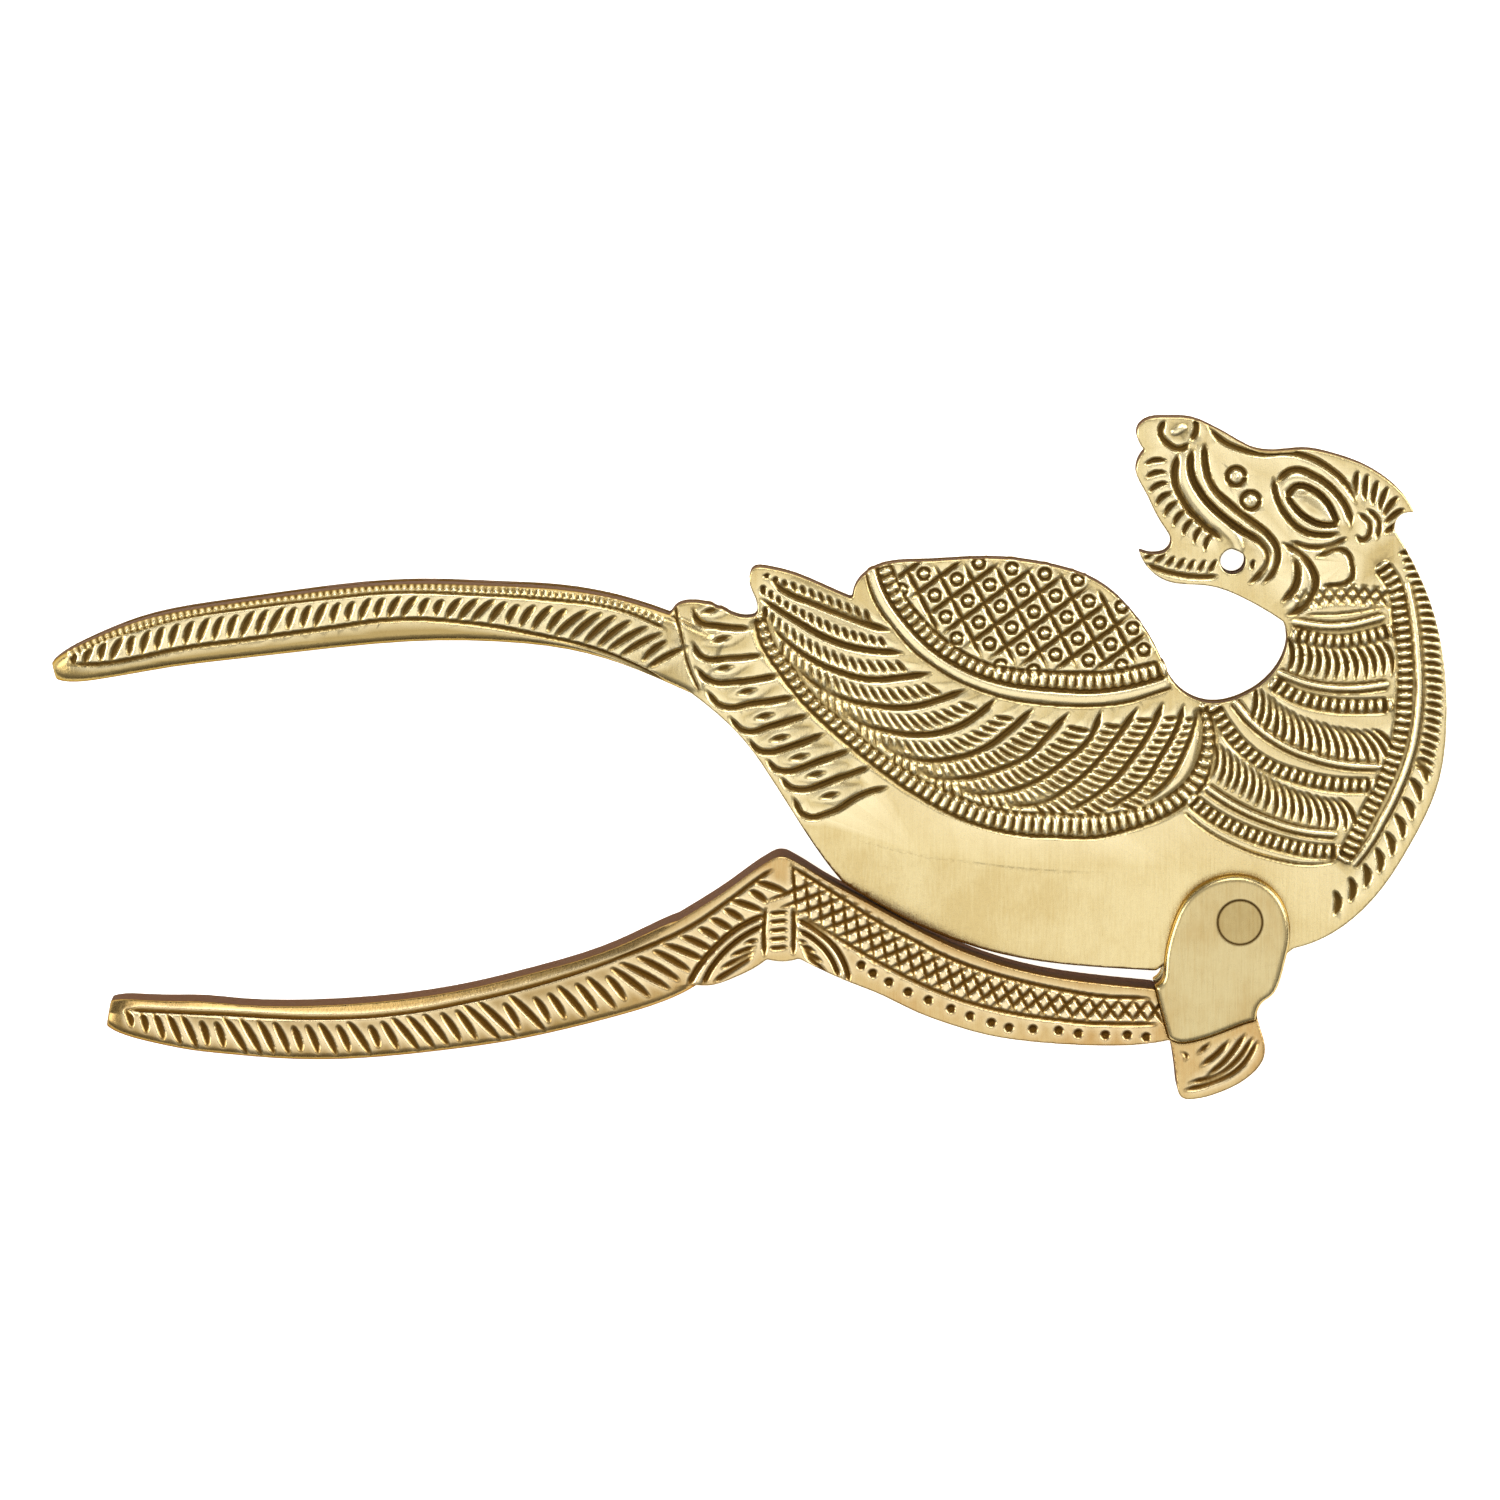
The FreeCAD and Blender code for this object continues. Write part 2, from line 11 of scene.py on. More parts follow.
import bmesh
import bpy
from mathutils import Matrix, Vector


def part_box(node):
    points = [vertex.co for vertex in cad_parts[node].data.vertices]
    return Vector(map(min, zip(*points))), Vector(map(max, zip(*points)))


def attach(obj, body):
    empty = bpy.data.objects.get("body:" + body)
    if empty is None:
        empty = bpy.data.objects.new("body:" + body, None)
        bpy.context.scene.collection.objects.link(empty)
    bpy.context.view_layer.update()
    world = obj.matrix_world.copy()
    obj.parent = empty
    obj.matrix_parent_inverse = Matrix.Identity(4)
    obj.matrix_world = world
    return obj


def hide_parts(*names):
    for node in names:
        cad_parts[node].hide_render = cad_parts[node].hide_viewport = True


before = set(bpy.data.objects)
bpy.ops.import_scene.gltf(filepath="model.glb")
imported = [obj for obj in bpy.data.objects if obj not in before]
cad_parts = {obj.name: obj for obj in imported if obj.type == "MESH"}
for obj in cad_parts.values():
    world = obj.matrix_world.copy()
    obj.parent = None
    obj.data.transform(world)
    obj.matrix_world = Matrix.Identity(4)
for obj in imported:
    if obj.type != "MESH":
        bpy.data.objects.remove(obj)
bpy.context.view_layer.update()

MM = 0.001
rivet_low, rivet_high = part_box("pivot_rivet")
TOP = rivet_high[2]  # the front cheek's outer face
MIDDLE = (rivet_low[2] + rivet_high[2]) / 2  # the parting plane of both castings
print(f"thickness {TOP / MM:.1f} mm, middle plane at {MIDDLE / MM:.1f} mm")

# %% [markdown]
# ## Two small helpers
#
# Every material and every Geometry Nodes tree below is built from nodes. One function adds a node,
# gives it its settings and joins its inputs, whether an input is a plain value or another node's
# output. A second function turns an sRGB colour, as a paint chart gives it, into linear light.

# %% Helpers for nodes and colours


def add(tree, kind, inputs=None, **settings):
    """Adds a node, sets it up, and links or fills the inputs that are named."""
    made = tree.nodes.new(kind)
    for key, value in settings.items():
        setattr(made, key, value)
    for key, value in (inputs or {}).items():
        socket = made.inputs[key]
        if isinstance(value, bpy.types.NodeSocket):
            tree.links.new(value, socket)
        else:
            socket.default_value = value
    return made


def linear(hex_colour):
    """An sRGB hex colour as linear RGBA."""
    levels = [int(hex_colour[i : i + 2], 16) / 255 for i in (1, 3, 5)]
    return [c / 12.92 if c <= 0.04045 else ((c + 0.055) / 1.055) ** 2.4 for c in levels] + [1.0]


# %% [markdown]
# ## Brass, as the caster leaves it and as hands polish it
#
# Yellow brass is about two parts copper to one of zinc. Raised parts are rubbed bright, while soot,
# polish and oxide stay in every cut and turn it dark brown. Raised parts are also painted paler than
# rubbed brass alone would be, a painted highlight. The carving further down stores in a `cavity`
# attribute how far each point lies below its surroundings, in millimetres, so the metal knows where
# the dirt stays; sideways walls count as sunk too, and their dark colour is partly patina and partly
# painted shade. It also stores in a `worked` attribute how much punching lies around each point,
# because a polishing cloth rides over such places and leaves them a shade duller. The grips darken
# toward their ends, where hands hold them. Noise at two real sizes breaks up the shine, because a
# hand-filed face is never quite even.

# %% The brass materials


def noise(tree, place, size_mm, detail, roughness):
    """Noise whose features are about size_mm across."""
    inputs = {"Vector": place, "Scale": 1 / (size_mm * MM), "Detail": detail, "Roughness": roughness}
    return add(tree, "ShaderNodeTexNoise", inputs).outputs["Fac"]


def stretch(tree, place, turn_degrees):
    """Coordinates drawn out along one direction, for file and brush strokes."""
    inputs = {"Vector": place, "Scale": (1.0, 0.05, 1.0), "Rotation": (0.0, 0.0, math.radians(turn_degrees))}
    return add(tree, "ShaderNodeMapping", inputs).outputs["Vector"]


def blend_colours(tree, factor, first, second):
    """Mixes two colours, each a socket or a fixed colour."""
    mix = add(tree, "ShaderNodeMix", data_type="RGBA")
    for socket, value in zip((mix.inputs[0], mix.inputs[6], mix.inputs[7]), (factor, first, second)):
        if isinstance(value, bpy.types.NodeSocket):
            tree.links.new(value, socket)
        else:
            socket.default_value = value
    return mix.outputs[2]


def brass(
    name, bright, warm, rubbed_and_highlight, tarnish, dirt_and_shade, edge, roughness, pits_mm, file_turn, file_depth, seam=None
):
    """Brass with dark recesses, rubbed high points painted partly as a highlight, painted shade on walls and
    grazing mirror, slow colour drift and file marks.
    """
    material = bpy.data.materials.new(name)
    material.use_nodes = True
    tree = material.node_tree
    tree.nodes.clear()
    place = add(tree, "ShaderNodeTexCoord").outputs["Object"]
    cavity = add(tree, "ShaderNodeAttribute", attribute_name="cavity").outputs["Fac"]
    worked = add(tree, "ShaderNodeAttribute", attribute_name="worked").outputs["Fac"]
    drift = noise(tree, place, 14, 4.0, 0.6)
    pits = noise(tree, place, pits_mm, 5.0, 0.65)
    strokes = noise(tree, stretch(tree, place, file_turn), 0.3, 3.0, 0.7)

    # Dirt lies where the surface is deeper than its surroundings, with a ragged edge; the sideways walls
    # count as sunk and get the same colour as painted shade.
    ragged = add(tree, "ShaderNodeMath", {0: pits, 1: -0.12, 2: 0.06}, operation="MULTIPLY_ADD")
    depth = add(tree, "ShaderNodeMath", {0: cavity, 1: ragged.outputs[0]}, operation="ADD")
    limits = {"Value": depth.outputs[0], "From Min": -0.01, "From Max": -0.17}
    dirt_and_shade_mask = add(tree, "ShaderNodeMapRange", limits, interpolation_type="SMOOTHSTEP").outputs["Result"]
    if seam is not None:
        dirt_and_shade_mask = add(tree, "ShaderNodeMath", {0: dirt_and_shade_mask, 1: seam(tree, place)}, operation="MAXIMUM").outputs[0]

    limits = {"Value": drift, "From Min": 0.35, "From Max": 0.68}
    patches = add(tree, "ShaderNodeMapRange", limits, interpolation_type="SMOOTHSTEP").outputs["Result"]
    streaks = add(tree, "ShaderNodeMath", {0: strokes, 1: 1.6, 2: -0.8}, operation="MULTIPLY_ADD").outputs[0]
    uneven = add(tree, "ShaderNodeMath", {0: patches, 1: streaks}, operation="ADD", use_clamp=True).outputs[0]
    clean = blend_colours(tree, uneven, linear(bright), linear(warm))
    limits = {"Value": worked, "From Min": 0.02, "From Max": 0.2, "To Max": 0.75}
    punched = add(tree, "ShaderNodeMapRange", limits).outputs["Result"]
    along = add(tree, "ShaderNodeSeparateXYZ", {"Vector": place}).outputs["X"]
    limits = {"Value": along, "From Min": -66 * MM, "From Max": -90 * MM, "To Max": 0.97}
    held = add(tree, "ShaderNodeMapRange", limits).outputs["Result"]
    dull = add(tree, "ShaderNodeMath", {0: punched, 1: held}, operation="MAXIMUM").outputs[0]
    toned = blend_colours(tree, dull, clean, linear(tarnish))
    # Raised points get a paler colour: rubbed brass, and partly a painted highlight.
    limits = {"Value": cavity, "From Min": 0.01, "From Max": 0.14, "To Max": 0.8}
    proud = add(tree, "ShaderNodeMapRange", limits).outputs["Result"]
    polished_and_highlight = blend_colours(tree, proud, toned, linear(rubbed_and_highlight))
    colour = blend_colours(tree, dirt_and_shade_mask, polished_and_highlight, linear(dirt_and_shade))

    # Dirt and oxide are not metal: they take away some of the mirror and roughen the rest; the walls darkened
    # as painted shade lose mirror the same way.
    metal = add(tree, "ShaderNodeMath", {0: dirt_and_shade_mask, 1: -0.25, 2: 1.0}, operation="MULTIPLY_ADD")
    worn = add(tree, "ShaderNodeMath", {0: pits, 1: 0.16, 2: roughness - 0.08}, operation="MULTIPLY_ADD")
    rough = add(tree, "ShaderNodeMath", {0: dirt_and_shade_mask, 1: 0.3, 2: worn.outputs[0]}, operation="MULTIPLY_ADD")
    marks = add(tree, "ShaderNodeMath", {0: strokes, 1: file_depth, 2: pits}, operation="MULTIPLY_ADD")
    heights = {"Height": marks.outputs[0], "Strength": 0.4, "Distance": 0.05 * MM}
    bump = add(tree, "ShaderNodeBump", heights).outputs["Normal"]
    # Seen along its surface, the brass mirrors with a brown tint, not white: painted shade that keeps the
    # walls from mirroring the bright floor.
    surface = {
        "Base Color": colour,
        "Roughness": rough.outputs[0],
        "Metallic": metal.outputs[0],
        "Normal": bump,
        "Specular Tint": linear(edge),
    }
    shader = add(tree, "ShaderNodeBsdfPrincipled", surface)
    add(tree, "ShaderNodeOutputMaterial", {"Surface": shader.outputs["BSDF"]})
    return material


RIVET_EDGE = 3.05 * MM  # radius of the rivet's peened end


def rivet_seam(tree, place):
    """Most at the hairline gap round the rivet's end, none away from it."""
    flat = add(tree, "ShaderNodeVectorMath", {0: place, 1: (1.0, 1.0, 0.0)}, operation="MULTIPLY")
    radius = add(tree, "ShaderNodeVectorMath", {0: flat.outputs[0]}, operation="LENGTH").outputs["Value"]
    off = add(tree, "ShaderNodeMath", {0: radius, 1: RIVET_EDGE}, operation="SUBTRACT").outputs[0]
    away = add(tree, "ShaderNodeMath", {0: off}, operation="ABSOLUTE").outputs[0]
    limits = {"Value": away, "From Min": 0.05 * MM, "From Max": 0.3 * MM, "To Min": 0.95, "To Max": 0.0}
    return add(tree, "ShaderNodeMapRange", limits, interpolation_type="SMOOTHSTEP").outputs["Result"]


# Lever castings: chased all over, so their high points are rubbed and their cuts are dark.
# In each call the colour for raised points is partly a painted highlight, the colour for cuts is also
# painted shade on the sideways walls, and the last colour tints the grazing mirror brown as painted shade.
bird_brass = brass(
    "chased_cast_brass", "#D0BF8F", "#C2AD79", "#F0E2B8", "#A08A58", "#57401A", "#A07C38", 0.27, 0.5, 80, 1.0
)
# The anvil lever's alloy has a little more copper, which shows where hands rub it.
anvil_brass = brass(
    "coppery_cast_brass", "#C2AA78", "#B6945F", "#EBD8AE", "#967C4C", "#5C3F14", "#8C5E12", 0.28, 0.5, 30, 0.8
)
# Cheeks and rivet: filed flat after assembly, so they are smooth but for file marks and nicks.
cheek_brass = brass(
    "filed_brass", "#BFAF82", "#B39D6C", "#E0D5AE", "#A88F5C", "#57401A", "#C09A58", 0.26, 1.1, 10, 1.2,
    seam=rivet_seam,
)
rivet_brass = brass(
    "peened_brass", "#AD9A6B", "#9F8756", "#E0D5AE", "#A88F5C", "#57401A", "#C09A58", 0.28, 0.8, 55, 1.0,
    seam=rivet_seam,
)
print("materials:", ", ".join(m.name for m in bpy.data.materials if "brass" in m.name))

# %% [markdown]
# ## Chasing tools as Geometry Nodes
#
# A chaser works with a few punches: one leaves a round-ended stroke, another a line. Struck again
# and again along a scribed path, they make rows of beads, hatching and scales. Two trees do the
# same here. *Strokes* sets one small lens after another along a path, across it, slanted or bent.
# *Lines* draws a round-bottomed line along the path, fading at both ends as a graver's cut does.
# Both give plain sheets of punch marks, which a third tree presses into the casting.

# %% The stroke tree


def new_tree(name, sockets):
    """An empty Geometry Nodes tree with a geometry input and the named inputs that sockets gives."""
    tree = bpy.data.node_groups.new(name, "GeometryNodeTree")
    tree.interface.new_socket(name="Geometry", in_out="INPUT", socket_type="NodeSocketGeometry")
    for socket_name, kind in sockets:
        tree.interface.new_socket(name=socket_name, in_out="INPUT", socket_type=f"NodeSocket{kind}")
    tree.interface.new_socket(name="Geometry", in_out="OUTPUT", socket_type="NodeSocketGeometry")
    return tree


def end_tree(tree, geometry, material):
    """Makes instances real, sets the metal and ends the tree."""
    real = add(tree, "GeometryNodeRealizeInstances", {"Geometry": geometry}).outputs["Geometry"]
    metal = add(tree, "GeometryNodeSetMaterial", {"Geometry": real, "Material": material})
    add(tree, "NodeGroupOutput", {"Geometry": metal.outputs["Geometry"]})


def apply_tree(obj, tree, values):
    """Runs a tree on an object and returns the result as a plain mesh."""
    modifier = obj.modifiers.new(tree.name, "NODES")
    modifier.node_group = tree
    for item in tree.interface.items_tree:
        if item.in_out == "INPUT" and item.name in values:
            modifier[item.identifier] = values[item.name]
    obj.update_tag()
    depsgraph = bpy.context.evaluated_depsgraph_get()
    mesh = bpy.data.meshes.new_from_object(obj.evaluated_get(depsgraph), depsgraph=depsgraph)
    obj.modifiers.clear()
    return mesh


def make_stroke_tree():
    """Small lenses across a path.  Length is multiplied by the path's own radius."""
    sockets = [(word, "Float") for word in ("Spacing", "Length", "Width", "Depth", "Tilt", "Bend", "Jitter")]
    tree = new_tree("strokes", sockets + [("Seed", "Int")])
    given = add(tree, "NodeGroupInput").outputs
    spaced = {"Curve": given["Geometry"], "Length": given["Spacing"]}
    path = add(tree, "GeometryNodeResampleCurve", spaced, mode="LENGTH")
    ball = add(tree, "GeometryNodeMeshIcoSphere", {"Radius": 1.0, "Subdivisions": 2})
    spot = add(tree, "ShaderNodeSeparateXYZ", {"Vector": add(tree, "GeometryNodeInputPosition").outputs[0]})
    square = add(tree, "ShaderNodeMath", {0: spot.outputs["Y"], 1: spot.outputs["Y"]}, operation="MULTIPLY")
    shove = add(tree, "ShaderNodeMath", {0: square.outputs[0], 1: given["Bend"]}, operation="MULTIPLY")
    offset = add(tree, "ShaderNodeCombineXYZ", {"X": shove.outputs[0]})
    shoved = {"Geometry": ball.outputs["Mesh"], "Offset": offset.outputs[0]}
    bent = add(tree, "GeometryNodeSetPosition", shoved)
    tangent = add(tree, "GeometryNodeInputTangent").outputs[0]
    along = add(tree, "FunctionNodeAlignRotationToVector", {"Vector": tangent}, axis="X", pivot_axis="Z")
    low = add(tree, "ShaderNodeMath", {0: 1.0, 1: given["Jitter"]}, operation="SUBTRACT")
    high = add(tree, "ShaderNodeMath", {0: 1.0, 1: given["Jitter"]}, operation="ADD")
    chance = add(tree, "FunctionNodeRandomValue", data_type="FLOAT")
    tree.links.new(low.outputs[0], chance.inputs[2])
    tree.links.new(high.outputs[0], chance.inputs[3])
    tree.links.new(given["Seed"], chance.inputs["Seed"])
    luck = chance.outputs[1]
    lean = add(tree, "ShaderNodeMath", {0: luck, 1: given["Tilt"]}, operation="MULTIPLY")
    angles = add(tree, "ShaderNodeCombineXYZ", {"Z": lean.outputs[0]})
    turn = add(tree, "FunctionNodeEulerToRotation", {0: angles.outputs[0]})
    facing = add(
        tree,
        "FunctionNodeRotateRotation",
        {"Rotation": along.outputs[0], "Rotate By": turn.outputs[0]},
        rotation_space="LOCAL",
    )
    radius = add(tree, "GeometryNodeInputRadius").outputs[0]
    half_length = add(tree, "ShaderNodeMath", {0: given["Length"], 1: radius}, operation="MULTIPLY")
    lucky = add(tree, "ShaderNodeMath", {0: half_length.outputs[0], 1: luck}, operation="MULTIPLY")
    extent = {"X": given["Width"], "Y": lucky.outputs[0], "Z": given["Depth"]}
    size = add(tree, "ShaderNodeCombineXYZ", extent)
    halved = add(tree, "ShaderNodeVectorMath", {0: size.outputs[0], 1: (0.5, 0.5, 1.0)}, operation="MULTIPLY")
    placed = add(
        tree,
        "GeometryNodeInstanceOnPoints",
        {
            "Points": path.outputs[0],
            "Instance": bent.outputs[0],
            "Rotation": facing.outputs[0],
            "Scale": halved.outputs[0],
        },
    )
    end_tree(tree, placed.outputs[0], bird_brass)
    return tree


# %% The line tree


def make_line_tree():
    """A round-bottomed line along each path, as deep as Depth, fading over Taper at both ends."""
    sockets = [(word, "Float") for word in ("Width", "Depth", "Taper")]
    tree = new_tree("lines", sockets)
    given = add(tree, "NodeGroupInput").outputs
    fine = add(tree, "GeometryNodeResampleCurve", {"Curve": given["Geometry"]}, mode="EVALUATED").outputs[0]
    share = add(tree, "GeometryNodeSplineParameter").outputs["Factor"]
    rest = add(tree, "ShaderNodeMath", {0: 1.0, 1: share}, operation="SUBTRACT")
    nearer = add(tree, "ShaderNodeMath", {0: share, 1: rest.outputs[0]}, operation="MINIMUM")
    whole = add(tree, "GeometryNodeSplineLength").outputs["Length"]
    reach = add(tree, "ShaderNodeMath", {0: nearer.outputs[0], 1: whole}, operation="MULTIPLY")
    limits = {"Value": reach.outputs[0], "From Max": given["Taper"], "To Min": 0.25}
    fade = add(tree, "ShaderNodeMapRange", limits)
    half = add(tree, "ShaderNodeMath", {0: fade.outputs["Result"], 1: given["Width"]}, operation="MULTIPLY")
    radius = add(tree, "ShaderNodeMath", {0: half.outputs[0], 1: 0.5}, operation="MULTIPLY")
    ring = add(tree, "GeometryNodeCurvePrimitiveCircle", {"Resolution": 8, "Radius": 1.0})
    tube = add(
        tree,
        "GeometryNodeCurveToMesh",
        {
            "Curve": fine,
            "Profile Curve": ring.outputs["Curve"],
            "Scale": radius.outputs[0],
            "Fill Caps": True,
        },
    )
    flat = add(tree, "ShaderNodeMath", {0: given["Depth"], 1: given["Width"]}, operation="DIVIDE")
    doubled = add(tree, "ShaderNodeMath", {0: flat.outputs[0], 1: 2.0}, operation="MULTIPLY")
    squash = add(tree, "ShaderNodeCombineXYZ", {"X": 1.0, "Y": 1.0, "Z": doubled.outputs[0]})
    pressed = add(tree, "GeometryNodeTransform", {"Geometry": tube.outputs[0], "Scale": squash.outputs[0]})
    end_tree(tree, pressed.outputs[0], bird_brass)
    return tree


# %% The press

EDGE_DIRT_AND_SHADE = 0.17  # millimetres of depth that a sideways wall counts as: its patina, plus painted shade


def blurred(tree, value, rounds):
    """A value averaged with its neighbours that many times."""
    blur = add(tree, "GeometryNodeBlurAttribute", data_type="FLOAT")
    tree.links.new(value, blur.inputs[0])
    tree.links.new(rounds, blur.inputs["Iterations"])
    return blur.outputs[0]


def store(tree, geometry, name, value):
    """Keeps a value on the points of a mesh under a name."""
    inputs = {"Geometry": geometry, "Name": name, "Value": value}
    return add(tree, "GeometryNodeStoreNamedAttribute", inputs, data_type="FLOAT", domain="POINT").outputs[0]


def make_press_tree():
    """Moves a casting's skin by the marks above and below the drawing's plane.

    Each point of the skin looks straight down on the raised sheet and straight up at the cut sheet.
    How high the one and how deep the other lies there is how far the point moves along its normal.
    Points on the casting's edges face sideways and stay where they are; they count as sunk by a fixed
    depth, which gives them the dark colour of the cuts: partly the patina of edges that nobody
    polishes, partly painted shade for the dark room that such walls would mirror.
    """
    sockets = [(word, "Object") for word in ("Raised", "Cut")]
    sockets += [(word, "Int") for word in ("Soften", "Blur", "Wide Blur")]
    tree = new_tree("press", sockets + [("Metal", "Material")])
    given = add(tree, "NodeGroupInput").outputs
    spot = add(tree, "ShaderNodeSeparateXYZ", {"Vector": add(tree, "GeometryNodeInputPosition").outputs[0]})
    levels = []
    for name, start in (("Raised", 20 * MM), ("Cut", -20 * MM)):
        sheet = add(tree, "GeometryNodeObjectInfo", {"Object": given[name]}, transform_space="ORIGINAL")
        above = {"X": spot.outputs["X"], "Y": spot.outputs["Y"], "Z": start}
        source = add(tree, "ShaderNodeCombineXYZ", above)
        ray = add(
            tree,
            "GeometryNodeRaycast",
            {
                "Target Geometry": sheet.outputs["Geometry"],
                "Source Position": source.outputs[0],
                "Ray Direction": (0.0, 0.0, -math.copysign(1.0, start)),
                "Ray Length": 1.0,
            },
        )
        level = add(tree, "ShaderNodeSeparateXYZ", {"Vector": ray.outputs["Hit Position"]}).outputs["Z"]
        struck = add(tree, "ShaderNodeMath", {0: level, 1: ray.outputs["Is Hit"]}, operation="MULTIPLY")
        levels.append(struck.outputs[0])
    relief = add(tree, "ShaderNodeMath", {0: levels[0], 1: levels[1]}, operation="ADD").outputs[0]
    facing = add(tree, "GeometryNodeInputNormal").outputs[0]
    up = add(tree, "ShaderNodeSeparateXYZ", {"Vector": facing}).outputs["Z"]
    limits = {"Value": up, "From Min": 0.12, "From Max": 0.45}
    face = add(tree, "ShaderNodeMapRange", limits, interpolation_type="SMOOTHSTEP").outputs["Result"]
    move = add(tree, "ShaderNodeMath", {0: relief, 1: face}, operation="MULTIPLY").outputs[0]
    stored = store(tree, given["Geometry"], "relief", blurred(tree, move, given["Soften"]))
    kept = add(tree, "GeometryNodeInputNamedAttribute", {"Name": "relief"}, data_type="FLOAT").outputs[0]
    around = blurred(tree, kept, given["Blur"])
    amount = add(tree, "ShaderNodeMath", {0: kept}, operation="ABSOLUTE").outputs[0]
    nearby = add(tree, "ShaderNodeMath", {0: amount, 1: 1 / MM}, operation="MULTIPLY").outputs[0]
    stored = store(tree, stored, "worked", blurred(tree, nearby, given["Wide Blur"]))
    sunk = add(tree, "ShaderNodeMath", {0: kept, 1: around}, operation="SUBTRACT")
    in_mm = add(tree, "ShaderNodeMath", {0: sunk.outputs[0], 1: 1 / MM}, operation="MULTIPLY")
    # Sideways walls count as sunk: the patina of unpolished edges, plus painted shade for the dark room they
    # would mirror.
    wall_dirt_and_shade = add(tree, "ShaderNodeMath", {0: face, 1: EDGE_DIRT_AND_SHADE, 2: -EDGE_DIRT_AND_SHADE}, operation="MULTIPLY_ADD")
    dirt_and_shade = add(tree, "ShaderNodeMath", {0: in_mm.outputs[0], 1: wall_dirt_and_shade.outputs[0]}, operation="ADD")
    marked = store(tree, stored, "cavity", dirt_and_shade.outputs[0])
    normal = add(tree, "GeometryNodeInputNormal").outputs[0]
    offset = add(tree, "ShaderNodeVectorMath", {0: normal, "Scale": kept}, operation="SCALE")
    moved = add(tree, "GeometryNodeSetPosition", {"Geometry": marked, "Offset": offset.outputs[0]})
    metal = add(tree, "GeometryNodeSetMaterial", {"Geometry": moved.outputs[0], "Material": given["Metal"]})
    add(tree, "NodeGroupOutput", {"Geometry": metal.outputs["Geometry"]})
    return tree


strokes_tree = make_stroke_tree()
lines_tree = make_line_tree()
press_tree = make_press_tree()
print("trees:", ", ".join(t.name for t in (strokes_tree, lines_tree, press_tree)))

# %% [markdown]
# ## The drawing
#
# Before anything is cut, the pattern is scribed on the face. Here each scribed path is a short list
# of points in millimetres about the rivet's axis, joined by a smooth Bezier curve. A
# `Sheet` collects everything that one pass of punches leaves: raised marks or cut marks.

# %% Paths and sheets


class Sheet:
    """All the marks of one kind that are pressed into one casting."""

    def __init__(self, name, rise):
        self.name = name
        self.rise = rise  # how far the drawing is moved along Y to sit on this casting
        self.marks = bmesh.new()
        self.seed = 0

    def paths(self, paths, radii=None, closed=False):
        """The scribed paths as one curve object."""
        curve = bpy.data.curves.new(self.name + "_paths", "CURVE")
        curve.dimensions = "3D"
        curve.resolution_u = 8
        for k, points in enumerate(paths):
            spline = curve.splines.new("BEZIER")
            spline.bezier_points.add(len(points) - 1)
            spline.use_cyclic_u = closed
            for i, (x, y) in enumerate(points):
                knot = spline.bezier_points[i]
                knot.co = (x * MM, (y + self.rise) * MM, 0.0)
                knot.handle_left_type = knot.handle_right_type = "AUTO"
                knot.radius = radii[k][i] if radii else 1.0
        obj = bpy.data.objects.new(self.name + "_paths", curve)
        bpy.context.scene.collection.objects.link(obj)
        return obj

    def take(self, obj, tree, values):
        """Runs a punch tree along the paths and keeps its marks."""
        mesh = apply_tree(obj, tree, values)
        self.marks.from_mesh(mesh)
        bpy.data.meshes.remove(mesh)
        bpy.data.objects.remove(obj)

    def strokes(self, paths, spacing, length, width, depth, tilt=0, bend=0.0, jitter=0.08, radii=None):
        """Strokes across each path; sizes in millimetres, tilt in degrees."""
        self.seed += 1
        values = {
            "Spacing": spacing * MM,
            "Length": length * (1 if radii else MM),
            "Width": width * MM,
            "Depth": depth * MM,
            "Tilt": math.radians(tilt),
            "Bend": bend,
            "Jitter": jitter,
            "Seed": self.seed,
        }
        self.take(self.paths(paths, radii), strokes_tree, values)

    def lines(self, paths, width, depth, taper=1.0, closed=False):
        """Lines along each path, in millimetres."""
        values = {"Width": width * MM, "Depth": depth * MM, "Taper": (0.001 if closed else taper) * MM}
        self.take(self.paths(paths, closed=closed), lines_tree, values)

    def finish(self):
        """The sheet as one object, out of sight, for the press to look at."""
        mesh = bpy.data.meshes.new(self.name)
        self.marks.to_mesh(mesh)
        self.marks.free()
        obj = bpy.data.objects.new(self.name, mesh)
        bpy.context.scene.collection.objects.link(obj)
        print(f"{self.name}: {len(mesh.polygons)} faces of punch marks")
        return obj


def resample(points, count):
    """count points at equal steps along a polyline."""
    steps = [math.dist(a, b) for a, b in zip(points, points[1:])]
    total = sum(steps)
    result = []
    for k in range(count):
        left = total * k / (count - 1)
        i = 0
        while i < len(steps) - 1 and left > steps[i]:
            left -= steps[i]
            i += 1
        t = min(1.0, left / steps[i])
        (x0, y0), (x1, y1) = points[i], points[i + 1]
        result.append((x0 + t * (x1 - x0), y0 + t * (y1 - y0)))
    return result


def between(first, second, count=9, low=0.0, high=1.0):
    """The middle line of the strip from low to high between two paths, and its half width in metres."""
    pairs = list(zip(resample(first, count), resample(second, count)))
    t = (low + high) / 2
    middle = [(a[0] + t * (b[0] - a[0]), a[1] + t * (b[1] - a[1])) for a, b in pairs]
    return middle, [math.dist(a, b) * (high - low) / 2 * MM for a, b in pairs]


def ring(centre, radius, count=8):
    """A closed ring of points."""
    turns = [2 * math.pi * k / count for k in range(count)]
    return [(centre[0] + radius * math.cos(t), centre[1] + radius * math.sin(t)) for t in turns]


def inside(point, outline):
    """Whether a point lies inside a closed outline."""
    x, y = point
    hit = False
    for (x0, y0), (x1, y1) in zip(outline, outline[1:] + outline[:1]):
        if (y0 > y) != (y1 > y) and x < x0 + (y - y0) * (x1 - x0) / (y1 - y0):
            hit = not hit
    return hit

